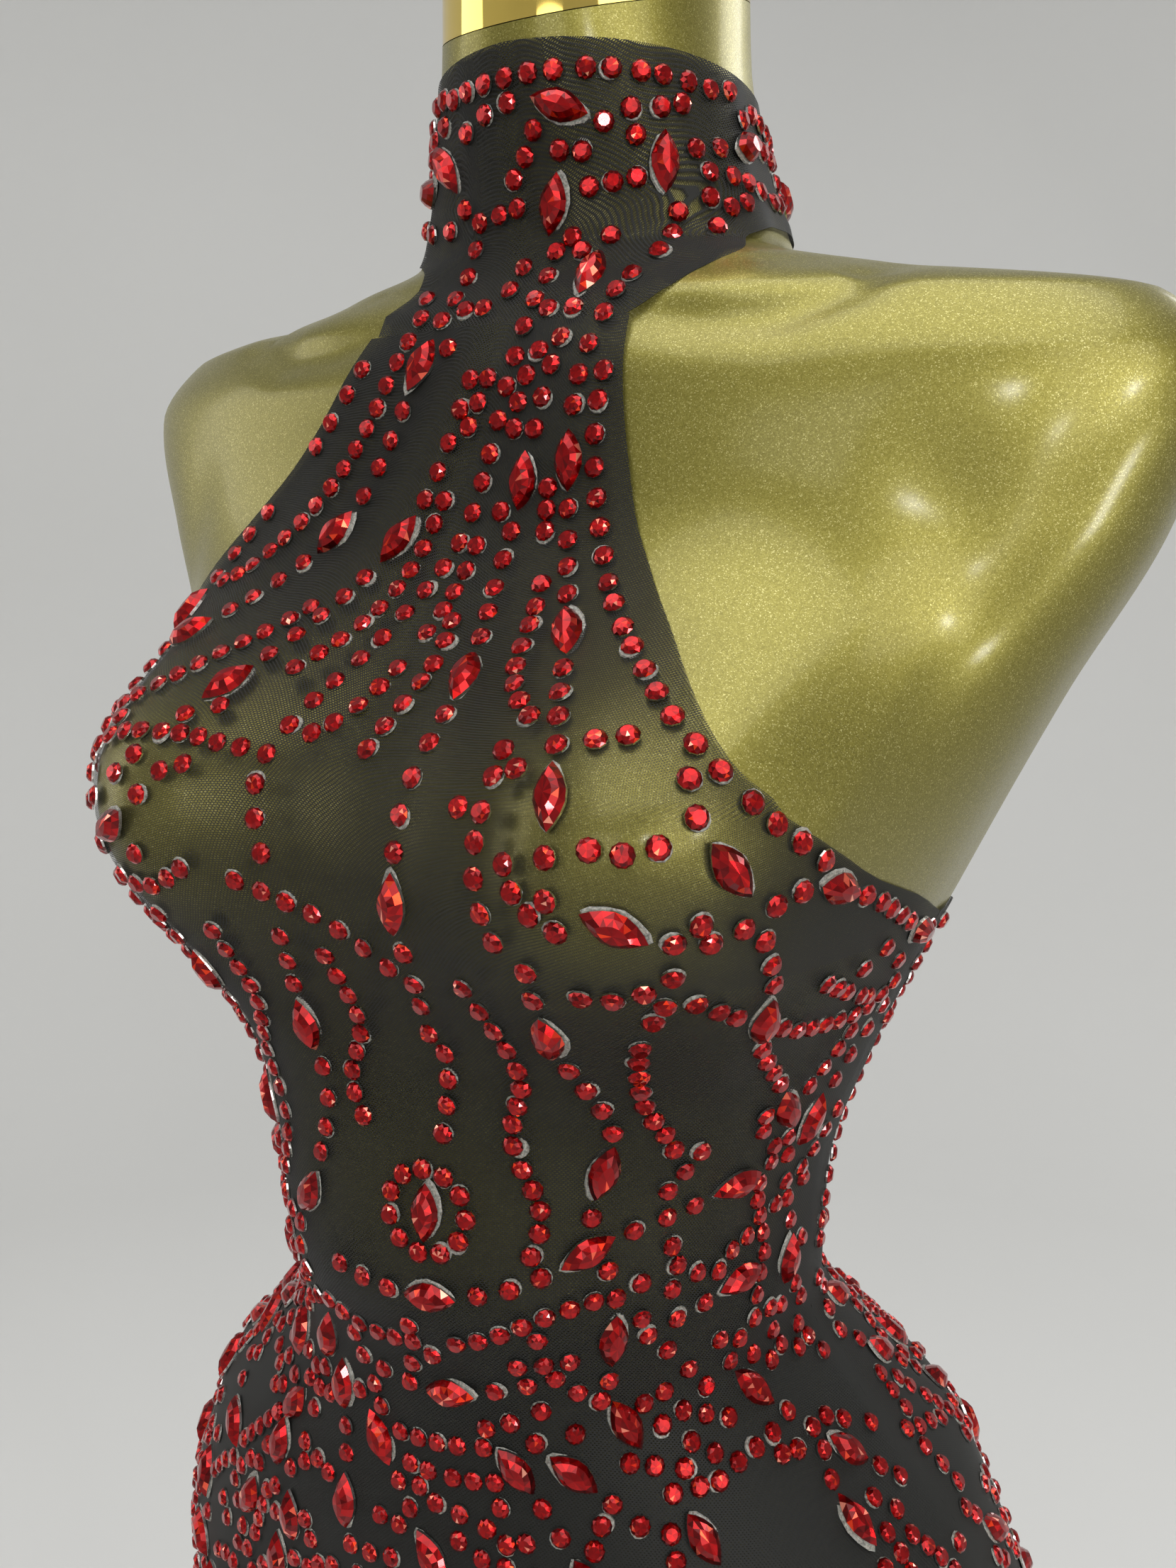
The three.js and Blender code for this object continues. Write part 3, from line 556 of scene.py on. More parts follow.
# Painted reflections: the dark, red, orange and pale stops stand for light thrown back by each facet.
glass.paint(facet, [
    (0.0, (0.06, 0.001, 0.0015)),
    (0.25, (0.16, 0.0015, 0.0025)),
    (0.55, (0.28, 0.0025, 0.004)),
    (0.82, (0.44, 0.005, 0.006)),
    (0.93, (0.85, 0.05, 0.010)),
    (1.0, (1.0, 0.42, 0.30)),
])

foil = Finish("silver_foil", Metallic=1.0, Roughness=0.22)
foil.paint(foil.noise(900.0), [(0.3, (0.42, 0.40, 0.38)), (0.7, (0.78, 0.76, 0.74))])

glue = Finish("clear_glue", Roughness=0.4, Subsurface_Weight=0.2, Subsurface_Scale=0.001)
glue.paint(glue.noise(1500.0, 3.0), [(0.3, (0.07, 0.068, 0.058)), (0.75, (0.36, 0.35, 0.31))])
glue.bump(glue.noise(1800.0), 0.4, 0.0003)

# %% [markdown]
# The dress form: one smooth lacquered shell. A grid is wrapped round the figure's sections, with rows
# spaced by the length of its outline so that the shoulders get enough. Soft grooves give the collarbones
# and the folds where the arms would start. They are measured along routes on the surface itself.

# %% Dress form
GROOVE_ROWS = [  # width, height, and the route as angles and levels on the left side
    (7.5, -2.8, [(-78, 330), (-75, 327), (-69, 323.5), (-62, 323.5), (-55, 330), (-44, 336), (-32, 339)]),
    (15.0, 1.4, [(-72, 338), (-64, 334), (-56, 340), (-46, 345)]),
    (16.0, -1.6, [(-48, 286), (-42, 264), (-38, 246)]),
]
FORM_COLUMNS, FORM_ROWS = 256, 260
FORM_CORNER = 5
RELIEF_FROM = 220


def grooves(points):
    """How far the form's relief moves each point out."""
    height = np.zeros(points.shape[:-1])
    for width, depth, route in GROOVE_ROWS:
        for hand in (1, -1):
            corners = np.array(route, float)
            t = np.linspace(0, len(corners) - 1, 12 * len(corners))
            angles = np.radians(np.interp(t, range(len(corners)), corners[:, 0]))
            levels = np.interp(t, range(len(corners)), corners[:, 1])
            line = form_point(angles, levels) * [hand, 1, 1]
            ends = np.sin(np.pi * np.clip(t / t[-1], 0.02, 0.98)) ** 0.6
            off = np.linalg.norm(points[..., None, :] - line, axis=-1)
            near = np.exp(-((off / width) ** 2))
            mean_depth = (depth * ends * near).sum(-1) / (near.sum(-1) + 1e-6)
            height += mean_depth * np.exp(-((off.min(-1) / width) ** 2))
    return height


fine_levels = np.linspace(FORM_BOTTOM, NECK_TOP, 3000)
outline = form_point(0.0, fine_levels)
outline_length = np.concatenate([[0], np.cumsum(np.linalg.norm(np.diff(outline, axis=0), axis=1))])
row_lengths = np.linspace(0, outline_length[-1], FORM_ROWS)
form_levels = np.interp(row_lengths, outline_length, fine_levels)
form_angles = np.linspace(-np.pi, np.pi, FORM_COLUMNS + 1)
neck_share = np.clip((form_levels - NECK_BASE) / (NECK_TOP - NECK_BASE), 0, 1)[:, None]
neck_rise = neck_share * (neck_rim(form_angles) - NECK_TOP)[None, :]
form_angle_grid, form_level_grid = np.broadcast_arrays(
    form_angles[None, :], form_levels[:, None] + neck_rise
)
form_grid = form_point(form_angle_grid, form_level_grid)
shoulder = form_levels > RELIEF_FROM
relief = np.zeros(form_grid.shape[:-1])
relief[shoulder] = grooves(form_grid[shoulder])
form_out = outward_at(form_point, form_angle_grid, form_level_grid)
form_grid = form_grid + form_out * relief[..., None]
corner = np.clip((form_levels - FORM_BOTTOM) / FORM_CORNER, 0, 1)
tuck = FORM_CORNER * (1 - np.sqrt(1 - (1 - corner) ** 2))
radius = np.linalg.norm(form_grid[..., :2], axis=-1)
form_grid[..., :2] *= (1 - tuck[:, None] / radius)[..., None]

form, _, _ = bent_grid("gold_form", form_grid)


def close_each_end(obj):
    """Merges the seam of a wrapped grid and fills its lowest and highest ring."""
    in_edit_mode(obj, lambda: bpy.ops.mesh.remove_doubles(threshold=1e-6))
    shape = bmesh.new()
    shape.from_mesh(obj.data)
    bmesh.ops.holes_fill(shape, edges=[e for e in shape.edges if e.is_boundary], sides=0)
    bmesh.ops.recalc_face_normals(shape, faces=shape.faces)
    shape.to_mesh(obj.data)
    shape.free()


close_each_end(form)
pick(form)
bpy.ops.object.shade_smooth_by_angle(angle=math.radians(40))
form.data.materials.append(gold.material)
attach(form, "root")
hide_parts("dress_form")
print("form", len(form.data.polygons), "faces")

# %% [markdown]
# The neck cap is a short cylinder with the neck's own section, turned over at its top edge. Its rings are
# the neck's section moved in, a few more than the edge needs, so that the mirror bends cleanly.

# %% Neck cap
CAP_HEIGHT, CAP_EDGE, SEAM_GAP = 34, 6, 0.3
cap_turns = np.linspace(-np.pi, np.pi, 129)
neck_ring = form_point(cap_turns, neck_rim(cap_turns))
cap_profile = [(0.0, 0.0), (0.0, 0.4)]
cap_profile += [(0.0, h) for h in np.linspace(2, CAP_HEIGHT - CAP_EDGE, 8)]
edge_turns = np.linspace(0, HALF, 7)[1:]
cap_profile += [
    (CAP_EDGE * (1 - math.cos(a)), CAP_HEIGHT - CAP_EDGE + CAP_EDGE * math.sin(a)) for a in edge_turns
]
cap_profile += [(inset, CAP_HEIGHT) for inset in (CAP_EDGE + 6, CAP_EDGE + 20, CAP_EDGE + 34)]
cap_grid = []
for inset, height in cap_profile:
    ring = neck_ring.copy()
    ring[:, :2] *= (1 - inset / np.linalg.norm(ring[:, :2], axis=1))[:, None]
    ring[:, 2] = neck_plane(ring[:, 1]) + SEAM_GAP + height
    cap_grid.append(ring)
cap, _, _ = bent_grid("brass_neck_cap", np.array(cap_grid))
close_each_end(cap)
pick(cap)
bpy.ops.object.shade_smooth_by_angle(angle=math.radians(35))
cap.data.materials.append(brass.material)
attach(cap, "root")
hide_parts("neck_cap")
print("cap", len(cap.data.polygons), "faces")

# %% [markdown]
# The stand is turned steel: a round plate on the floor, a pole with a foot, and a plate under the form.
# Both pieces start as cylinders, are extruded and scaled ring by ring, and get bevelled edges.

# %% Stand
BASE = {"radius": 180, "thickness": 5, "bevel": 1.5}
POLE = {"radius": 15, "plate": 60, "plate thickness": 6, "foot": 45}
ROUND = 128


def turned(name, profile):
    """A solid turned from rings of radius and height, in mm from the floor."""
    deselect()
    first_radius, first_height = profile[0]
    bpy.ops.mesh.primitive_circle_add(
        vertices=ROUND, radius=first_radius * MM, fill_type="NGON", location=(0, 0, first_height * MM)
    )
    obj = bpy.context.active_object
    obj.name = obj.data.name = name
    bpy.ops.object.transform_apply(location=True)
    bpy.ops.object.mode_set(mode="EDIT")
    bpy.ops.mesh.select_all(action="SELECT")
    radius_now, height_now = first_radius, first_height
    for ring_radius, ring_height in profile[1:]:
        rise = (ring_height - height_now) * MM
        bpy.ops.mesh.extrude_region_move(TRANSFORM_OT_translate={"value": (0, 0, rise)})
        grow = ring_radius / radius_now
        bpy.ops.transform.resize(value=(grow, grow, 1), center_override=(0, 0, ring_height * MM))
        radius_now, height_now = ring_radius, ring_height
    bpy.ops.mesh.select_all(action="SELECT")
    bpy.ops.mesh.normals_make_consistent(inside=False)
    bpy.ops.object.mode_set(mode="OBJECT")
    apply_modifier(obj, "BEVEL", width=0.0008, segments=3, limit_method="ANGLE", angle_limit=0.6)
    bpy.ops.object.shade_smooth_by_angle(angle=math.radians(30))
    obj.data.materials.append(steel.material)
    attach(obj, "root")
    return obj


foot_level = BASE["thickness"] + SEAM_GAP
plate_top = WAIST + FORM_BOTTOM - SEAM_GAP
base = turned("steel_base", [
    (BASE["radius"] - BASE["bevel"], 0),
    (BASE["radius"], BASE["bevel"]),
    (BASE["radius"], BASE["thickness"] - BASE["bevel"]),
    (BASE["radius"] - BASE["bevel"], BASE["thickness"]),
])
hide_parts("base")
pole = turned("steel_pole", [
    (POLE["foot"], foot_level),
    (POLE["foot"], foot_level + POLE["plate thickness"]),
    (POLE["radius"], foot_level + POLE["plate thickness"] + 0.01),
    (POLE["radius"], plate_top - POLE["plate thickness"] - 0.01),
    (POLE["plate"], plate_top - POLE["plate thickness"]),
    (POLE["plate"], plate_top),
])
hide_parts("pole")
for name in ("nape_hook_upper", "nape_hook_lower"):
    for material_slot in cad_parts[name].material_slots:
        material_slot.material = steel.material
print("stand made, with", ROUND, "sides")

# %% [markdown]
# The dress has three cut pieces: a collar, a front and a back. Each is a grid of angles and levels
# between its own cut edges. The armholes run from the throat out and round under the arm.

# %% The cut edges
ARMHOLE_ROWS = [  # level, and the edge's distance across from the centre front on the left and right
    (326, 46, 48),
    (304, 49, 60),
    (288, 52, 73),
    (270, 57, 93),
    (252, 68, 112),
    (235, 83, 124),
    (220, 97, 130),
    (208, 108, 133),
    (198, 118, 135),
]
UNDERARM_ROWS = [  # level, and the edge's angle round from the side seam on the left and right
    (198, 46.5, 32),
    (188, 38, 26),
    (176, 28, 19),
    (164, 13, 9),
    (152, 0, 0),
]
COLLAR_EDGE_ROWS = [  # angle round from the centre front, and the low edge's level on the left and right
    (0, 326, 326),
    (13.5, 326, 326),
    (17.5, 331.5, 338),
    (26.5, 338, 347),
    (44, 345, 352),
    (99, 361, 361),
    (130, 365, 365),
    (180, 367, 367),
]
COLLAR_TOP_FRONT, COLLAR_TOP_BACK = 407, 402
BACK_EDGE_AT_SIDE, BACK_EDGE_AT_CENTRE, BACK_GUIDE_LEVEL = 152, 108, 70
NAPE_GAP, NAPE_RADIUS = 2, 70
LAST_ARMHOLE_LEVEL, UNDERARM_LEVEL = 198, 152

collar_edge_left, collar_edge_right = curve(COLLAR_EDGE_ROWS, 0, 1), curve(COLLAR_EDGE_ROWS, 0, 2)
search_angles = np.linspace(-HALF, 0, 721)


def front_edge(hand, level):
    """The front's cut edge at a level, as an angle on its left side; the right side's is mirrored."""
    column = 1 if hand == "left" else 2
    if level <= UNDERARM_LEVEL:
        return 0.0
    if level < LAST_ARMHOLE_LEVEL:
        return -math.radians(float(curve(UNDERARM_ROWS, 0, column)(level)))
    reach = float(curve(ARMHOLE_ROWS, 0, column)(min(level, THROAT_SEAM)))
    return float(np.interp(reach, resting_point(search_angles, level)[:, 0], search_angles))


def collar_edge_at(turn_degrees):
    """The level of the collar's lower edge; the turn is positive on the left side."""
    turned_by = np.abs(turn_degrees)
    return np.where(turn_degrees > 0, collar_edge_left(turned_by), collar_edge_right(turned_by))


def collar_high_at(turn_degrees):
    return COLLAR_TOP_FRONT + (COLLAR_TOP_BACK - COLLAR_TOP_FRONT) * np.abs(turn_degrees) / 180


def back_edge_at(angle):
    return BACK_EDGE_AT_CENTRE + (BACK_EDGE_AT_SIDE - BACK_EDGE_AT_CENTRE) * np.cos(angle) ** 2


def angle_behind(share, level):
    """The angle that a share of the way from the centre back to the side seam takes up."""
    seam = float(distance_round(0.0, level))
    half_girth = girth_row(level)[-1]
    return HALF - float(angle_round(half_girth - share * (half_girth - seam), level))


def front_cells(rows, columns):
    levels = np.linspace(HEM, THROAT_SEAM, rows)
    angles = []
    for level in levels:
        near = float(distance_round(front_edge("left", level), level))
        far = -float(distance_round(front_edge("right", level), level))
        angles.append(angle_round(np.linspace(far, near, columns), level))
    return np.array(angles), np.repeat(levels[:, None], columns, axis=1)


def back_cells(rows, columns):
    shares = np.linspace(-1, 1, columns)
    low = [HALF + math.copysign(angle_behind(abs(s), BACK_GUIDE_LEVEL), s) for s in shares]
    angles, levels = [], []
    for t in np.linspace(0, 1, rows):
        level_row = HEM + t * (back_edge_at(np.array(low)) - HEM)
        middle = float(level_row[columns // 2])
        angle_row = [HALF + math.copysign(angle_behind(abs(s), middle), s) for s in shares]
        angles.append(angle_row)
        levels.append(HEM + t * (back_edge_at(np.array(angle_row)) - HEM))
    return np.array(angles), np.array(levels)


def collar_cells(rows, columns):
    end = NAPE_GAP / 2 / NAPE_RADIUS
    angles = np.linspace(-3 * HALF + end, HALF - end, columns)
    turn_degrees = np.degrees(angles + HALF)
    low = collar_edge_at(turn_degrees)
    high = collar_high_at(turn_degrees)
    t = np.linspace(0, 1, rows)[:, None]
    return np.repeat(angles[None, :], rows, axis=0), low + t * (high - low)


# %% [markdown]
# Each piece is bent from a flat grid, then Solidify gives it the thread's thickness. The map is measured
# on the finished surface, so the holes keep their real size. Over the bust and neck the net is stretched
# open, at the waist and hip it is closer, and along the side seams it is doubled.

# %% Net pieces


def blob(distance, level, centre, reach):
    return np.exp(-(((distance - centre[0]) / reach[0]) ** 2 + ((level - centre[1]) / reach[1]) ** 2))


NET_LEVELS = (-430, -60, 10, 70, 110, 160, 240, 330, 410)
NET_OPENNESS = (0.32, 0.32, 0.56, 0.83, 0.78, 0.88, 0.81, 0.74, 0.74)
# The bust's extra openness also paints its threads lighter there: a painted highlight.
BLOB_ROWS = [  # how much further a place is opened, its distance round and level, and its reach
    (0.42, (-84, 194), (46, 40)),
    (0.42, (84, 194), (46, 40)),
    (0.06, (0, 70), (40, 60)),
]
SEAM_CLOSES_BY, SEAM_REACH = 0.35, 4


def openness_at(distance, level):
    opened = np.interp(level, NET_LEVELS, NET_OPENNESS)
    for opens_by, centre, reach in BLOB_ROWS:
        opened = opened + opens_by * blob(distance, level, centre, reach)
    side = np.abs(np.abs(distance) - distance_round(0.0, level))
    return opened - SEAM_CLOSES_BY * np.exp(-((side / SEAM_REACH) ** 2))


def net_piece(name, cells, smooth_angle=60):
    angles, levels = cells
    distances = distance_round(angles, levels)
    points = cloth_point(angles, levels, NET_LIFT)
    u, v = measured_map(points)
    obj, j, i = bent_grid(name, points, u, v)
    opened = openness_at(distances, levels)[j, i]
    attribute = obj.data.attributes.new("openness_and_highlight", "FLOAT", "POINT")
    attribute.data.foreach_set("value", opened.astype(np.float32))
    out = outward_at(resting_point, angles, levels)[j, i]
    normals = np.zeros(len(obj.data.vertices) * 3)
    obj.data.vertices.foreach_get("normal", normals)
    if (normals.reshape(-1, 3) * out).sum() < 0:
        in_edit_mode(obj, lambda: bpy.ops.mesh.flip_normals())
    apply_modifier(obj, "SOLIDIFY", thickness=NET_THICKNESS * MM, offset=1, use_rim=True)
    bpy.ops.object.shade_smooth_by_angle(angle=math.radians(smooth_angle))
    obj.data.materials.append(net.material)
    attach(obj, "root")
    surface = sum(face.area for face in obj.data.polygons) / 2
    print(name, len(obj.data.polygons), "faces,", round(surface, 4), "square metres of net")
    return obj


collar = net_piece("net_collar", collar_cells(rows=26, columns=181))
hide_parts("collar")
front = net_piece("net_front", front_cells(rows=171, columns=131))
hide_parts("front_panel")
back = net_piece("net_back", back_cells(rows=131, columns=121))
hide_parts("back_panel")

# %% [markdown]
# The stones are strung along routes on the cloth. A route is a few places, joined by a smooth curve and
# walked by length: so many round stones, then a pointed one. Where two pointed stones would meet, the
# later one is left out. The routes are this dress's own plan, fanning from the throat to the hem.

# %% Routes of the strings
STRING_ROWS = [  # a pointed stone after every so many round ones, the place of the first, and the route
    (5, 3, [(-150, 372), (-96, 384), (-44, 376), (2, 391), (50, 378), (98, 386), (150, 374)]),
    (4, 2, [(-36, 398), (-46, 372), (-36, 346), (-46, 318), (-66, 290), (-94, 262), (-116, 232)]),
    (4, 4, [(-16, 352), (-20, 324), (-30, 296), (-46, 268), (-72, 244), (-104, 226)]),
    (5, 2, [(4, 344), (-2, 312), (-14, 278), (-34, 246), (-58, 216), (-84, 190)]),
    (4, 5, [(14, 348), (12, 316), (6, 284), (-2, 254), (-14, 228), (-28, 200), (-22, 170)]),
    (5, 1, [(30, 352), (26, 318), (20, 284), (18, 252), (26, 222), (24, 190), (20, 128)]),
    (4, 2, [(48, 352), (36, 318), (34, 286), (40, 256), (56, 228), (70, 204), (74, 172)]),
    (5, 6, [(66, 362), (50, 338), (42, 306), (44, 276), (56, 250), (80, 228), (112, 206), (152, 182)]),
    (5, 3, [(66, 196), (84, 176), (112, 168), (140, 178), (168, 172), (204, 150)]),
    (4, 2, [(-62, 196), (-84, 176), (-112, 168), (-142, 180), (-176, 166)]),
    (4, 3, [(98, 214), (108, 196), (122, 180), (128, 156), (118, 130), (126, 104), (134, 78)]),
    (4, 2, [(64, 158), (62, 130), (70, 102), (64, 74), (72, 46), (66, 16), (74, -18)]),
    (4, 3, [(-24, 152), (-28, 124), (-22, 98), (-28, 70), (-40, 44), (-34, 12), (-44, -22)]),
    (4, 2, [(-72, 152), (-66, 124), (-72, 98), (-64, 70), (-72, 40), (-66, 10)]),
    (5, 2, [(-118, 150), (-108, 120), (-114, 92), (-100, 60), (-108, 26)]),
    (3, 2, [(-100, 74), (-66, 58), (-30, 50), (6, 46), (42, 52), (70, 66), (104, 74), (150, 84)]),
    (4, 1, [(214, 144), (184, 126), (156, 104), (136, 76), (144, 44), (130, 12)]),
    (4, 2, [(-206, 140), (-178, 122), (-152, 100), (-134, 72), (-142, 40), (-128, 10)]),
    (3, 1, [(-96, 34), (-62, 24), (-26, 14), (12, 10), (50, 20), (88, 34), (128, 42)]),
]
SPRAY_COLUMNS = ("strings", "start", "top", "bottom", "drift", "wave", "after", "first")
SPRAY_ROWS = [
    (12, 0.03, 34, -210, 0.34, 0.03, 2, 1),
    (10, 0.1, 8, -250, -0.3, 0.035, 3, 2),
    (8, 0.06, -40, -345, 0.16, 0.05, 4, 2),
    (8, 0.05, 24, -170, 0.55, 0.03, 2, 1),
    (10, 0.03, 398, 338, 0.08, 0.03, 2, 0),
]
BACK_STRING_ROWS = [
    (4, 2, [(0.62, 132), (0.72, 118), (0.84, 104), (1, 96), (1.16, 104), (1.28, 118), (1.38, 132)]),
    (4, 2, [(0.7, 96), (0.78, 66), (0.72, 34)]),
    (4, 2, [(0.94, 84), (0.9, 56), (0.97, 30)]),
    (4, 2, [(1.12, 90), (1.08, 60), (1.14, 32)]),
    (4, 2, [(1.32, 98), (1.24, 68), (1.29, 36)]),
]
ROUND_PITCH, POINTED_PITCH, POINTED_ROOM = 9.4, 20.5, 15
STAGGER_DROP, STAGGER_TURN, STAGGER_PHASE = 14, 2.4, 1.9
SPRAY_PLACES, WALK_STEPS = 11, 160


def spray_routes(rows):
    routes = []
    for row in rows:
        spray = dict(zip(SPRAY_COLUMNS, row))
        for n in range(spray["strings"]):
            route = []
            for t in np.linspace(0, 1, SPRAY_PLACES):
                fall = STAGGER_DROP * math.sin(STAGGER_TURN * n)
                level = spray["top"] + (spray["bottom"] - spray["top"]) * t - fall
                share = spray["start"] + 2 * n / spray["strings"] + spray["drift"] * t
                wave = spray["wave"] * math.sin(2 * math.pi * t + STAGGER_PHASE * n)
                route.append((share + wave, level))
            routes.append((spray["after"], spray["first"] + n % 2, route, True))
    return routes


def smooth_route(route, t):
    """Points along a centripetal curve through the route's places; t runs from 0 to 1."""
    places = np.array(route, float)
    places = np.concatenate([[2 * places[0] - places[1]], places, [2 * places[-1] - places[-2]]])
    spans = len(route) - 1
    i = np.minimum((t * spans).astype(int), spans - 1)
    w = (t * spans - i)[:, None]
    p0, p1, p2, p3 = (places[i + k] for k in range(4))
    gaps = [((b - a) ** 2).sum(1, keepdims=True) ** 0.25 for a, b in ((p0, p1), (p1, p2), (p2, p3))]
    g0, g1, g2 = gaps
    start = ((p1 - p0) / g0 - (p2 - p0) / (g0 + g1) + (p2 - p1) / g1) * g1
    end = ((p2 - p1) / g1 - (p3 - p1) / (g1 + g2) + (p3 - p2) / g2) * g1
    square, cube = 3 * (p2 - p1) - 2 * start - end, 2 * (p1 - p2) + start + end
    return p1 + start * w + square * w**2 + cube * w**3


def walk(string, pitch=ROUND_PITCH):
    """The stones of one string: angle, level, whether pointed, and the angle and level just ahead."""
    after, first, route, shared = string
    flat = smooth_route(route, np.linspace(0, 1, WALK_STEPS + 1))
    levels = flat[:, 1]
    distances = flat[:, 0]
    if shared:
        half_girths = np.array([girth_row(z)[-1] for z in levels])
        distances = ((distances + 1) % 2 - 1) * half_girths
    angles = angle_round(distances, levels)
    points = cloth_point(angles, levels, 0.0, creased=False)
    along = np.concatenate([[0], np.cumsum(np.linalg.norm(np.diff(points, axis=0), axis=1))])
    stones, due, count = [], 0.0, 0
    for k in range(WALK_STEPS + 1):
        if along[k] < due:
            continue
        pointed = after > 0 and count % (after + 1) == first
        following = after > 0 and (count + 1) % (after + 1) == first
        ahead, behind = min(k + 2, WALK_STEPS), max(k - 2, 0)
        stones.append({
            "angle": angles[k], "level": levels[k], "point": points[k], "pointed": pointed,
            "onward": points[ahead] - points[behind],
        })
        due += (pitch + POINTED_PITCH) / 2 if pointed or following else pitch
        count += 1
    return stones


plain_strings = [(*row, False) for row in STRING_ROWS] + [(*row, True) for row in BACK_STRING_ROWS]
strings = plain_strings + spray_routes(SPRAY_ROWS)
walked = [stone for string in strings for stone in walk(string)]
print(len(strings), "strings,", len(walked), "places")

# %% [markdown]
# Between the strings that carry pointed stones run finer ones of round stones alone: rows round the
# collar, loops over the busts, doubled rows at the sides, and a small ring like a flower.

# %% Strings of round stones
ROUND_STRING_ROWS = [
    (7.9, [(-150, 396), (-80, 393), (-30, 396), (30, 398), (84, 395), (150, 392)]),
    (7.5, [(-120, 364), (-70, 368), (-24, 360), (20, 366), (66, 372), (112, 366), (150, 370)]),
    (6.9, [(-52, 332), (-30, 337), (-8, 331), (16, 338), (40, 333), (58, 341), (84, 350)]),
    (7.7, [(-60, 392), (-56, 370), (-64, 350), (-50, 330), (-58, 308), (-80, 280), (-102, 258)]),
    (7.7, [(78, 392), (70, 372), (78, 358), (96, 356)]),
    (6.9, [(20, 396), (24, 380), (14, 366), (20, 350), (34, 334), (30, 306), (28, 280), (30, 262)]),
    (7.5, [(-28, 330), (-40, 300), (-58, 276), (-82, 254), (-110, 246)]),
    (7.5, [(-8, 300), (-20, 270), (-42, 244), (-66, 228), (-92, 214), (-120, 206)]),
    (7.7, [(8, 268), (4, 240), (-6, 214), (-32, 204), (-60, 206), (-88, 204), (-120, 190)]),
    (7.7, [(34, 250), (42, 226), (58, 216), (80, 214), (98, 220), (120, 200)]),
    (8.3, [(48, 232), (52, 206), (52, 180), (60, 160), (82, 152), (104, 162), (112, 178)]),
    (8.9, [(26, 180), (22, 150), (24, 118), (20, 92)]),
    (8.7, [(-34, 168), (-6, 160), (14, 148), (28, 134)]),
    (8.3, [(-106, 232), (-104, 204), (-96, 178), (-88, 158), (-92, 130), (-84, 104), (-90, 74)]),
    (7.9, [(-134, 196), (-118, 176), (-96, 168), (-70, 162), (-48, 172)]),
    (7.9, [(104, 150), (118, 140), (134, 132), (160, 128), (196, 136)]),
    (7.3, [(196, 148), (172, 132), (150, 116), (132, 98), (122, 72), (128, 46), (118, 18)]),
    (7.3, [(-200, 150), (-176, 134), (-154, 114), (-140, 90), (-128, 60), (-134, 30)]),
    (7.5, [(96, 92), (84, 74), (92, 52), (84, 30), (94, 6), (86, -20)]),
    (7.5, [(-92, 88), (-84, 62), (-90, 38), (-82, 14), (-92, -12)]),
    (7.3, [(-124, 16), (-84, 2), (-44, -6), (0, -10), (46, -2), (92, 12), (134, 24)]),
    (7.3, [(-50, 34), (-12, 26), (26, 32), (54, 44), (90, 52)]),
    (6.8, [(-64, 346), (-44, 332), (-14, 328), (16, 329), (42, 333), (62, 343), (96, 352), (150, 362)]),
    (6.8, [(-48, 338), (-26, 322), (4, 320), (30, 321), (44, 326)]),
    (7.3, [(40, 312), (44, 290), (50, 268), (62, 248), (78, 234), (98, 224)]),
    (7.7, [(12, 330), (0, 300), (-10, 268), (-20, 240), (-38, 222)]),
    (7.9, [(26, 330), (16, 306), (14, 276), (8, 250), (12, 226), (4, 200)]),
    (7.9, [(58, 206), (70, 196), (90, 190), (106, 196), (114, 210)]),
    (7.9, [(-60, 216), (-74, 206), (-92, 208), (-104, 220)]),
    (7.1, [(148, 146), (166, 134), (190, 128), (214, 134)]),
    (6.9, [(120, 150), (126, 122), (118, 96), (128, 68), (120, 40), (130, 16), (122, -10)]),
    (6.9, [(-118, 130), (-124, 100), (-116, 70), (-124, 44), (-114, 18), (-122, -8)]),
    (7.7, [(-150, 26), (-110, 14), (-72, 2), (-34, -12), (4, -20), (44, -14), (84, 0), (126, 10)]),
    (7.4, [(206, 138), (190, 112), (170, 90), (150, 70), (128, 56), (104, 48)]),
    (7.4, [(220, 120), (204, 92), (188, 64), (172, 38), (160, 14)]),
    (7.4, [(-214, 122), (-196, 92), (-180, 62), (-166, 34), (-158, 8)]),
    (7.4, [(-70, 172), (-78, 146), (-74, 120), (-80, 92), (-74, 62), (-80, 36), (-72, 10)]),
    (7.4, [(150, 62), (120, 52), (92, 38), (64, 28), (36, 24)]),
    (7.4, [(96, 150), (84, 134), (80, 112), (88, 90), (80, 66)]),
    (7.2, [(-92, 186), (-76, 184), (-60, 192), (-50, 208), (-58, 222)]),
    (7.2, [(44, 196), (58, 190), (66, 176), (80, 170), (98, 176)]),
    (7.2, [(40, 148), (48, 122), (42, 98), (50, 74), (44, 50), (50, 24), (42, 0)]),
    (7.2, [(-10, 148), (-6, 126), (-12, 106), (-6, 92)]),
    (7.2, [(-50, 150), (-46, 126), (-52, 104), (-46, 80), (-54, 56), (-48, 30), (-56, 4)]),
    (7.2, [(230, 146), (206, 150), (184, 152), (164, 146), (148, 132)]),
    (7.7, [(-130, -6), (-90, -18), (-50, -34), (-8, -42), (34, -36), (76, -22), (120, -12)]),
]
FLOWER_CENTRE, FLOWER_RADIUS, FLOWER_STONES = (16, 72), 12.5, 11
FINE_PITCH = 7.3
ROUND_SPRAY_ROWS = [
    (18, 0.02, 18, -210, 0.22, 0.04, 0, 0),
    (16, 0.07, 6, -260, -0.26, 0.03, 0, 0),
    (13, 0.00, 24, -160, 0.60, 0.05, 0, 0),
    (12, 0.04, -20, -190, -0.52, 0.04, 0, 0),
    (9, 0.05, -120, -400, 0.10, 0.05, 0, 0),
    (13, 0.04, 404, 330, -0.12, 0.04, 0, 0),
]


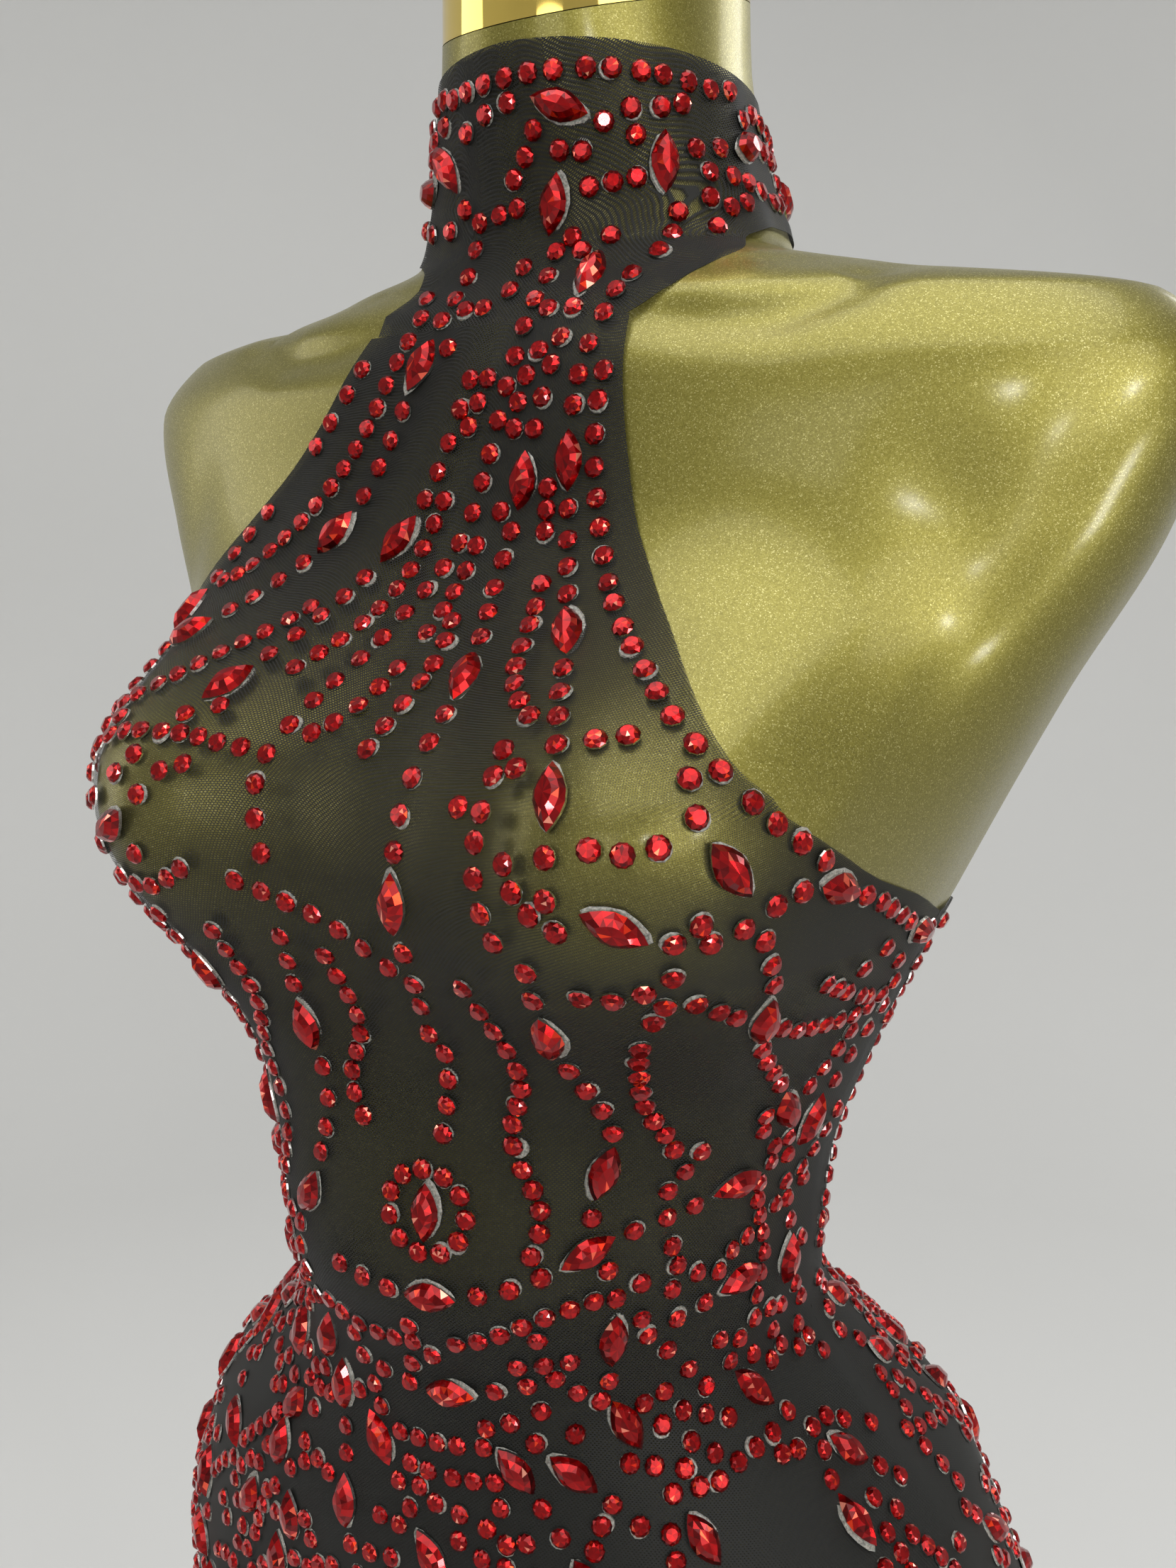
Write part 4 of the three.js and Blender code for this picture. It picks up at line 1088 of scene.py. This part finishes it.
def ring_of_stones(centre, radius, number):
    """A ring of round stones about a place on the cloth, with one pointed stone in it."""
    stones = []
    for n in range(number):
        a = 2 * math.pi * n / number
        level = centre[1] + radius * math.sin(a)
        angle = float(angle_round(centre[0] + radius * math.cos(a), level))
        stones.append((angle, level, False))
    stones.append((float(angle_round(centre[0], centre[1])), centre[1], True))
    return stones


fine_walked = []
for pitch, route in ROUND_STRING_ROWS:
    fine_walked += walk((0, 0, route, False), pitch)
for string in spray_routes(ROUND_SPRAY_ROWS):
    fine_walked += walk(string, FINE_PITCH)
print(len(fine_walked), "more places for round stones")

# %% [markdown]
# Every stone is dropped where it would lie on another, or too near a cut edge. Pointed stones come first,
# as they do when a dress is stoned by hand, and the round ones fill in after them.

# %% Which stones stay
EDGE_ROOM, SEAM_ROOM, ROUND_EDGE_ROOM = 10.5, 9, 4.6
ROUND_ROOM, SIDE_ROOM, LENGTH_ROOM = 6.3, 7.6, 12.0
COLLAR_HIGHEST, COLLAR_WIDEST_TURN, THROAT_TURN = 400, 170, 13.5


def piece_of(angle, level, point, edge_room, seam_room):
    """Which piece of the dress a place lies on, kept clear of its edges and seams."""
    turn_degrees = math.degrees((angle + HALF + math.pi) % (2 * math.pi) - math.pi)
    highest = collar_high_at(turn_degrees) - edge_room
    if edge_room == EDGE_ROOM:
        highest = min(highest, COLLAR_HIGHEST)
    if collar_edge_at(turn_degrees) + edge_room < level < highest:
        return "collar" if abs(turn_degrees) < COLLAR_WIDEST_TURN else None
    if abs(turn_degrees) < THROAT_TURN and abs(level - THROAT_SEAM) < edge_room:
        return "collar" if edge_room < EDGE_ROOM else None
    in_front = math.sin(angle) < 0
    if in_front and HEM + edge_room < level < THROAT_SEAM - edge_room:
        hand = "left" if point[0] > 0 else "right"
        edge_angle = front_edge(hand, level)
        edge = resting_point(edge_angle if hand == "left" else -math.pi - edge_angle, level)
        if level > UNDERARM_LEVEL - edge_room:
            inward = abs(edge[0]) - abs(point[0])
            inside = inward > 0 or level < LAST_ARMHOLE_LEVEL
            room = np.linalg.norm(edge - point) - edge_room if inside else -1
        else:
            room = abs(point[1]) - seam_room
        return "front" if room > 0 else None
    if not in_front and HEM + edge_room < level < back_edge_at(angle) - edge_room:
        return "back" if abs(point[1]) > seam_room else None
    return None


ring_places = []
for angle, level, pointed in ring_of_stones(FLOWER_CENTRE, FLOWER_RADIUS, FLOWER_STONES):
    point = cloth_point(np.array([angle]), np.array([level]), 0.0, creased=False)[0]
    ring_places.append({
        "angle": angle, "level": level, "point": point, "pointed": pointed,
        "onward": np.array([0, 0, 1.0]),
    })


def settled(places, room, taken=()):
    """The places that keep their room: each one rules out the later ones that lie too near it."""
    tree = KDTree(len(places))
    for k, place in enumerate(places):
        tree.insert(place["point"], k)
    tree.balance()
    ruled_out = np.zeros(len(places), bool)
    for stone in taken:
        heading = stone["onward"] / np.linalg.norm(stone["onward"])
        for _, k, distance in tree.find_range(stone["point"], LENGTH_ROOM):
            along = abs(float((places[k]["point"] - stone["point"]) @ heading))
            aside = math.sqrt(max(distance**2 - along**2, 0))
            ruled_out[k] |= (along / LENGTH_ROOM) ** 2 + (aside / SIDE_ROOM) ** 2 < 1
    stay = []
    for k, place in enumerate(places):
        if ruled_out[k]:
            continue
        stay.append(place)
        for _, near, _ in tree.find_range(place["point"], room):
            ruled_out[near] = True
    return stay


every_place = walked + ring_places
pointed_kept = settled([place for place in every_place if place["pointed"]], POINTED_ROOM)
round_places = [place for place in ring_places + walked + fine_walked if not place["pointed"]]
round_kept = settled(round_places, ROUND_ROOM, pointed_kept)
kept = pointed_kept + round_kept
on_piece = {"collar": [], "front": [], "back": []}
for place in kept:
    rooms = (EDGE_ROOM, SEAM_ROOM) if place["pointed"] else (ROUND_EDGE_ROOM, ROUND_EDGE_ROOM)
    where = piece_of(place["angle"], place["level"], place["point"], *rooms)
    if where:
        on_piece[where].append(place)
for name, places in on_piece.items():
    pointed_number = sum(place["pointed"] for place in places)
    print(name, pointed_number, "pointed,", len(places) - pointed_number, "round")

# %% [markdown]
# One round stone and one pointed stone are cut by hand: a cylinder or an outline is extruded to the
# girdle, then to a smaller table turned by half a facet, and the slopes are split into triangles. Every
# stone on the dress is a copy of one of these two, so each has only a few dozen faces.

# %% Cutting the two stones
ROUND_RADIUS, ROUND_GIRDLE, ROUND_HEIGHT, ROUND_TABLE, ROUND_FACETS = 3.2, 0.6, 2.1, 0.56, 10
STONE_LENGTH, STONE_WIDTH, STONE_GIRDLE, STONE_HEIGHT = 18.0, 9.0, 0.9, 4.1
STONE_TABLE, STONE_MIDDLE = 0.5, 0.25
LOWER_SLOPE, UPPER_SLOPE, CROWN_SWELL = 0.55, 0.45, 1.06
POINTED_OUTLINE = [  # shares of half the length and half the width, for a quarter of the outline
    (1.0, 0.0),
    (0.78, 0.40),
    (0.50, 0.74),
    (0.18, 0.98),
]


def height_and_place(spot):
    return [round(c / MM, 3) for c in reversed(spot)]


def shell_of(obj, girdle):
    """The points and faces of a cut stone, and which faces are the foil round its foot and its table.

    An extrusion numbers what it makes in another order each time, so both are put in order here.
    """
    corners = sorted(obj.data.vertices, key=lambda corner: height_and_place(corner.co))
    facets = sorted(obj.data.polygons, key=lambda facet: height_and_place(facet.center))
    number = {corner.index: k for k, corner in enumerate(corners)}
    points = np.array([corner.co[:] for corner in corners]) / MM
    faces = [[number[k] for k in facet.vertices] for facet in facets]
    normals = np.array([facet.normal[:] for facet in facets])
    heights = np.array([facet.center[2] for facet in facets]) / MM
    bpy.data.objects.remove(obj)
    foil_faces = (np.abs(normals[:, 2]) < 0.2) & (heights < girdle)
    tables = normals[:, 2] > 0.9
    return points, faces, foil_faces | (normals[:, 2] < -0.9), tables


def raise_ring(rise, grow, twist=0.0):
    bpy.ops.mesh.extrude_region_move(TRANSFORM_OT_translate={"value": (0, 0, rise * MM)})
    bpy.ops.transform.resize(value=(*grow, 1), center_override=(0, 0, 0))
    bpy.ops.transform.rotate(value=twist, orient_axis="Z", center_override=(0, 0, 0))


def cut_stone(name, outline, girdle, height, table, twist, middle):
    """Cuts one stone from a flat outline: a foot, a slope of facets, a table and a raised middle."""
    mesh = bpy.data.meshes.new(name)
    mesh.from_pydata([(x * MM, y * MM, 0) for x, y in outline], [], [range(len(outline))])
    obj = bpy.data.objects.new(name, mesh)
    bpy.context.scene.collection.objects.link(obj)
    pick(obj)
    bpy.ops.object.mode_set(mode="EDIT")
    bpy.ops.mesh.select_all(action="SELECT")
    waist = (1 + table) / 2 * CROWN_SWELL
    raise_ring(girdle, (1, 1))
    raise_ring(height * LOWER_SLOPE, (waist,) * 2, twist)
    raise_ring(height * UPPER_SLOPE, (table / waist,) * 2, twist)
    bpy.ops.mesh.poke(offset=middle * MM)
    bpy.ops.mesh.select_all(action="SELECT")
    bpy.ops.mesh.normals_make_consistent(inside=False)
    bpy.ops.mesh.quads_convert_to_tris(quad_method="SHORTEST_DIAGONAL")
    bpy.ops.object.mode_set(mode="OBJECT")
    return shell_of(obj, girdle)


facet_turns = [2 * math.pi * k / ROUND_FACETS for k in range(ROUND_FACETS)]
circle = [(ROUND_RADIUS * math.cos(a), ROUND_RADIUS * math.sin(a)) for a in facet_turns]
quarter = POINTED_OUTLINE
pointed_outline = (
    quarter
    + [(-x, y) for x, y in reversed(quarter)]
    + [(-x, -y) for x, y in quarter[1:]]
    + [(x, -y) for x, y in reversed(quarter[1:])]
)
pointed_outline = [(x * STONE_LENGTH / 2, y * STONE_WIDTH / 2) for x, y in pointed_outline]
round_stone = cut_stone(
    "round_stone", circle, ROUND_GIRDLE, ROUND_HEIGHT - ROUND_GIRDLE, ROUND_TABLE,
    twist=math.pi / ROUND_FACETS, middle=0.0,
)
pointed_stone = cut_stone(
    "pointed_stone", pointed_outline, STONE_GIRDLE, STONE_HEIGHT - STONE_GIRDLE, STONE_TABLE,
    twist=0.0, middle=STONE_MIDDLE,
)
print("round stone", len(round_stone[1]), "facets, pointed stone", len(pointed_stone[1]), "facets")

# %% [markdown]
# The stones of each piece of the dress are one joined mesh. Each copy is turned and tipped a little, as
# stones set by hand are, and its facets get the numbers of their painted reflections: the table near the
# middle of the ramp, the slopes all over it, with a few painted sparks. The glue is a low uneven pad
# under all the pointed stones and under more than half of the round ones.

# %% Setting the stones
chance = np.random.RandomState(11)
TIP = 0.06
FOOT_LIFT = 0.15
# Painted reflections: where a stone's table lies on the ramp, and the share of its facets painted as
# sparks.
FACET_PAINTED_LIGHT = {  # where a stone's table lies on the ramp, and the share of its facets that spark
    "round": (0.58, 0.025),
    "pointed": (0.5, 0.05),
}
TABLE_SPREAD, SLOPE_SHAPE, SLOPE_SPAN = 0.13, (1.7, 1.5), 0.86
GLUE_SIDES, GLUE_RISE, GLUE_RAGGED, GLUE_SHARE = 12, 0.45, 0.02, 0.6
ROUND_LEAN, POINTED_LEAN = 0.4, (0.3, 1.0)
GLUE_RINGS = [(1.0, -0.05), (0.93, GLUE_RISE)]


def joined_mesh(name, blocks, finishes):
    """One object from many small meshes: points, faces, a finish and a number for each face."""
    points = np.concatenate([block[0] for block in blocks])
    faces, finish, number, start = [], [], [], 0
    for block_points, block_faces, block_finish, block_number in blocks:
        faces += [[start + k for k in face] for face in block_faces]
        finish += list(block_finish)
        number += list(block_number)
        start += len(block_points)
    mesh = bpy.data.meshes.new(name)
    mesh.from_pydata(((points + [0, 0, WAIST]) * MM).tolist(), [], faces)
    mesh.polygons.foreach_set("material_index", np.array(finish, np.int32))
    attribute = mesh.attributes.new("facet", "FLOAT", "FACE")
    attribute.data.foreach_set("value", np.array(number, np.float32))
    for material in finishes:
        mesh.materials.append(material)
    obj = bpy.data.objects.new(name, mesh)
    bpy.context.scene.collection.objects.link(obj)
    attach(obj, "root")
    return obj


def seat_of(place):
    """The middle of a stone's foot and its three directions: along, aside and out."""
    angle, level = np.array([place["angle"]]), np.array([place["level"]])
    out = outward_at(resting_point, angle, level)[0]
    seat = cloth_point(angle, level, NET_LIFT + NET_THICKNESS)[0]
    out = out + chance.normal(0, TIP, 3)
    out /= np.linalg.norm(out)
    aside = np.cross(out, place["onward"])
    aside /= np.linalg.norm(aside)
    return seat, np.cross(aside, out), aside, out


# Each facet's number picks its painted reflection on the glass ramp; the highest are painted glints.
def painted_facet_reflections(faces, tables, pointed):
    table_place, painted_spark_share = FACET_PAINTED_LIGHT["pointed" if pointed else "round"]
    base = chance.uniform(-0.08, 0.1)
    numbers = chance.beta(*SLOPE_SHAPE, len(faces)) * SLOPE_SPAN + base
    numbers[tables] = chance.normal(table_place, TABLE_SPREAD, int(tables.sum()))
    painted_sparks = chance.random(len(faces)) < painted_spark_share
    numbers[painted_sparks] = chance.uniform(0.9, 1.0, int(painted_sparks.sum()))
    return np.clip(numbers, 0, 1)


def glue_pad(seat, along, aside, pointed):
    """A low pad of glue that reaches out past one side of its stone."""
    angles = np.linspace(0, 2 * math.pi, GLUE_SIDES, endpoint=False)
    if pointed:
        lean = chance.choice([-1, 1], 2) * chance.uniform(*POINTED_LEAN, 2)
        reach_x, reach_y = STONE_LENGTH / 2 + 0.1, STONE_WIDTH / 2
        x = reach_x * np.sign(np.cos(angles)) * np.abs(np.cos(angles)) ** 1.15
        y = reach_y * np.sign(np.sin(angles)) * np.abs(np.sin(angles)) ** 1.3
    else:
        lean = chance.normal(0, ROUND_LEAN, 2)
        x, y = ROUND_RADIUS * np.cos(angles), ROUND_RADIUS * np.sin(angles)
    ragged = 1 + chance.normal(0, GLUE_RAGGED, GLUE_SIDES)
    x, y = x * ragged + lean[0], y * ragged + lean[1]
    middle_x, middle_y = x.mean(), y.mean()
    out = np.cross(along, aside)
    points = []
    for grow, height in GLUE_RINGS:
        ring_x = middle_x + (x - middle_x) * grow
        ring_y = middle_y + (y - middle_y) * grow
        points.append(seat + ring_x[:, None] * along + ring_y[:, None] * aside + height * out)
    n = GLUE_SIDES
    faces = [[k, (k + 1) % n, n + (k + 1) % n, n + k] for k in range(n)]
    faces += [list(range(n - 1, -1, -1)), list(range(n, 2 * n))]
    return np.concatenate(points), faces, [0] * len(faces), [0.0] * len(faces)


for name, places in on_piece.items():
    stones, pads = [], []
    for place in places:
        seat, along, aside, out = seat_of(place)
        stone = pointed_stone if place["pointed"] else round_stone
        if not place["pointed"]:
            spin = chance.uniform(0, 2 * math.pi)
            along, aside = (
                along * math.cos(spin) + aside * math.sin(spin),
                aside * math.cos(spin) - along * math.sin(spin),
            )
        local, faces, foil_faces, tables = stone
        raised = local + [0, 0, FOOT_LIFT]
        placed = seat + raised[:, :1] * along + raised[:, 1:2] * aside + raised[:, 2:] * out
        numbers = painted_facet_reflections(faces, tables, place["pointed"])
        stones.append((placed, faces, foil_faces.astype(int), numbers))
        if place["pointed"] or chance.random() < GLUE_SHARE:
            pads.append(glue_pad(seat, along, aside, place["pointed"]))
    stone_piece = joined_mesh(name + "_stones", stones, [glass.material, foil.material])
    pad_piece = joined_mesh(name + "_glue", pads, [glue.material])
    print(name, len(stone_piece.data.polygons), "facets of stones,", len(pads), "pads of glue")

# %% [markdown]
# The net is worn stretched, so each piece's flat cut is smaller than the surface it covers.

# %% [markdown]
# The dress stands in a plain pale studio: a floor that curves up all round into a wall, so that there is
# no corner from any side. The light is soft, from large panels, with a few small lamps whose reflections
# make the glints on lacquer and glass.

# %% Floor and light
FLOOR_RADIUS, WALL_RADIUS, WALL_HEIGHT, BEND_STEPS = 2.2, 3.6, 4.0, 12
studio = Finish("pale_studio", Roughness=0.9)
studio.paint(studio.noise(0.6), [(0.3, (0.60, 0.60, 0.59)), (0.7, (0.63, 0.63, 0.62))])
deselect()
bpy.ops.mesh.primitive_circle_add(vertices=96, radius=FLOOR_RADIUS, fill_type="NGON")
floor = bpy.context.active_object
floor.name = "studio_floor"
bpy.ops.object.mode_set(mode="EDIT")
bpy.ops.mesh.select_all(action="SELECT")
bpy.ops.mesh.flip_normals()
bpy.ops.mesh.select_mode(type="EDGE")
bpy.ops.mesh.region_to_loop()
bend = WALL_RADIUS - FLOOR_RADIUS
radius_now, height_now = FLOOR_RADIUS, 0.0
for k in range(1, BEND_STEPS + 1):
    a = HALF * k / BEND_STEPS
    ring_radius, ring_height = FLOOR_RADIUS + bend * math.sin(a), bend * (1 - math.cos(a))
    bpy.ops.mesh.extrude_edges_move(TRANSFORM_OT_translate={"value": (0, 0, ring_height - height_now)})
    grow = ring_radius / radius_now
    bpy.ops.transform.resize(value=(grow, grow, 1), center_override=(0, 0, ring_height))
    radius_now, height_now = ring_radius, ring_height
bpy.ops.mesh.extrude_edges_move(TRANSFORM_OT_translate={"value": (0, 0, WALL_HEIGHT - height_now)})
bpy.ops.object.mode_set(mode="OBJECT")
bpy.ops.object.shade_smooth()
floor.data.materials.append(studio.material)


def panel(name, place, aim, size, watts, colour=(1, 1, 1)):
    data = bpy.data.lights.new(name, "AREA")
    data.shape = "RECTANGLE"
    data.size, data.size_y = size
    data.energy = watts
    data.color = colour
    lamp = bpy.data.objects.new(name, data)
    bpy.context.scene.collection.objects.link(lamp)
    lamp.location = place
    direction = np.array(aim, float) - np.array(place, float)
    back = -direction / np.linalg.norm(direction)
    across = np.cross([0, 0, 1], back)
    across /= np.linalg.norm(across)
    upward = np.cross(back, across)
    out = Matrix([[across[k], upward[k], back[k]] for k in range(3)])
    lamp.matrix_world = Matrix.Translation(place) @ out.to_4x4()
    lamp.visible_camera = False
    return lamp


CHEST = (0.0, 0.0, 1.2)
panel("window_right", (2.2, -1.3, 2.1), CHEST, (1.6, 2.0), 27, (1.0, 0.98, 0.94))
panel("window_left", (-2.4, -0.9, 1.7), CHEST, (1.2, 2.0), 13, (1.0, 0.98, 0.95))
panel("ceiling", (0.3, -0.6, 3.3), CHEST, (2.4, 2.4), 48)
panel("back_light", (1.2, 2.6, 2.6), CHEST, (1.4, 1.0), 22)
panel("lamp_high", (1.26, -1.94, 1.96), CHEST, (0.15, 0.15), 5)
panel("lamp_low", (2.2, -0.92, 1.62), CHEST, (0.14, 0.14), 5)
panel("lamp_side", (1.75, -1.6, 1.43), CHEST, (0.10, 0.10), 2)
panel("lamp_near", (2.3, -0.33, 0.8), CHEST, (0.22, 0.22), 6)
panel("lamp_front", (0.2, -2.5, 1.9), CHEST, (0.9, 0.9), 6)

world = bpy.data.worlds.new("studio_air")
bpy.context.scene.world = world
world.use_nodes = True
world.node_tree.nodes["Background"].inputs["Color"].default_value = (0.81, 0.81, 0.80, 1)
world.node_tree.nodes["Background"].inputs["Strength"].default_value = 0.56
bpy.context.scene.view_settings.view_transform = "Standard"
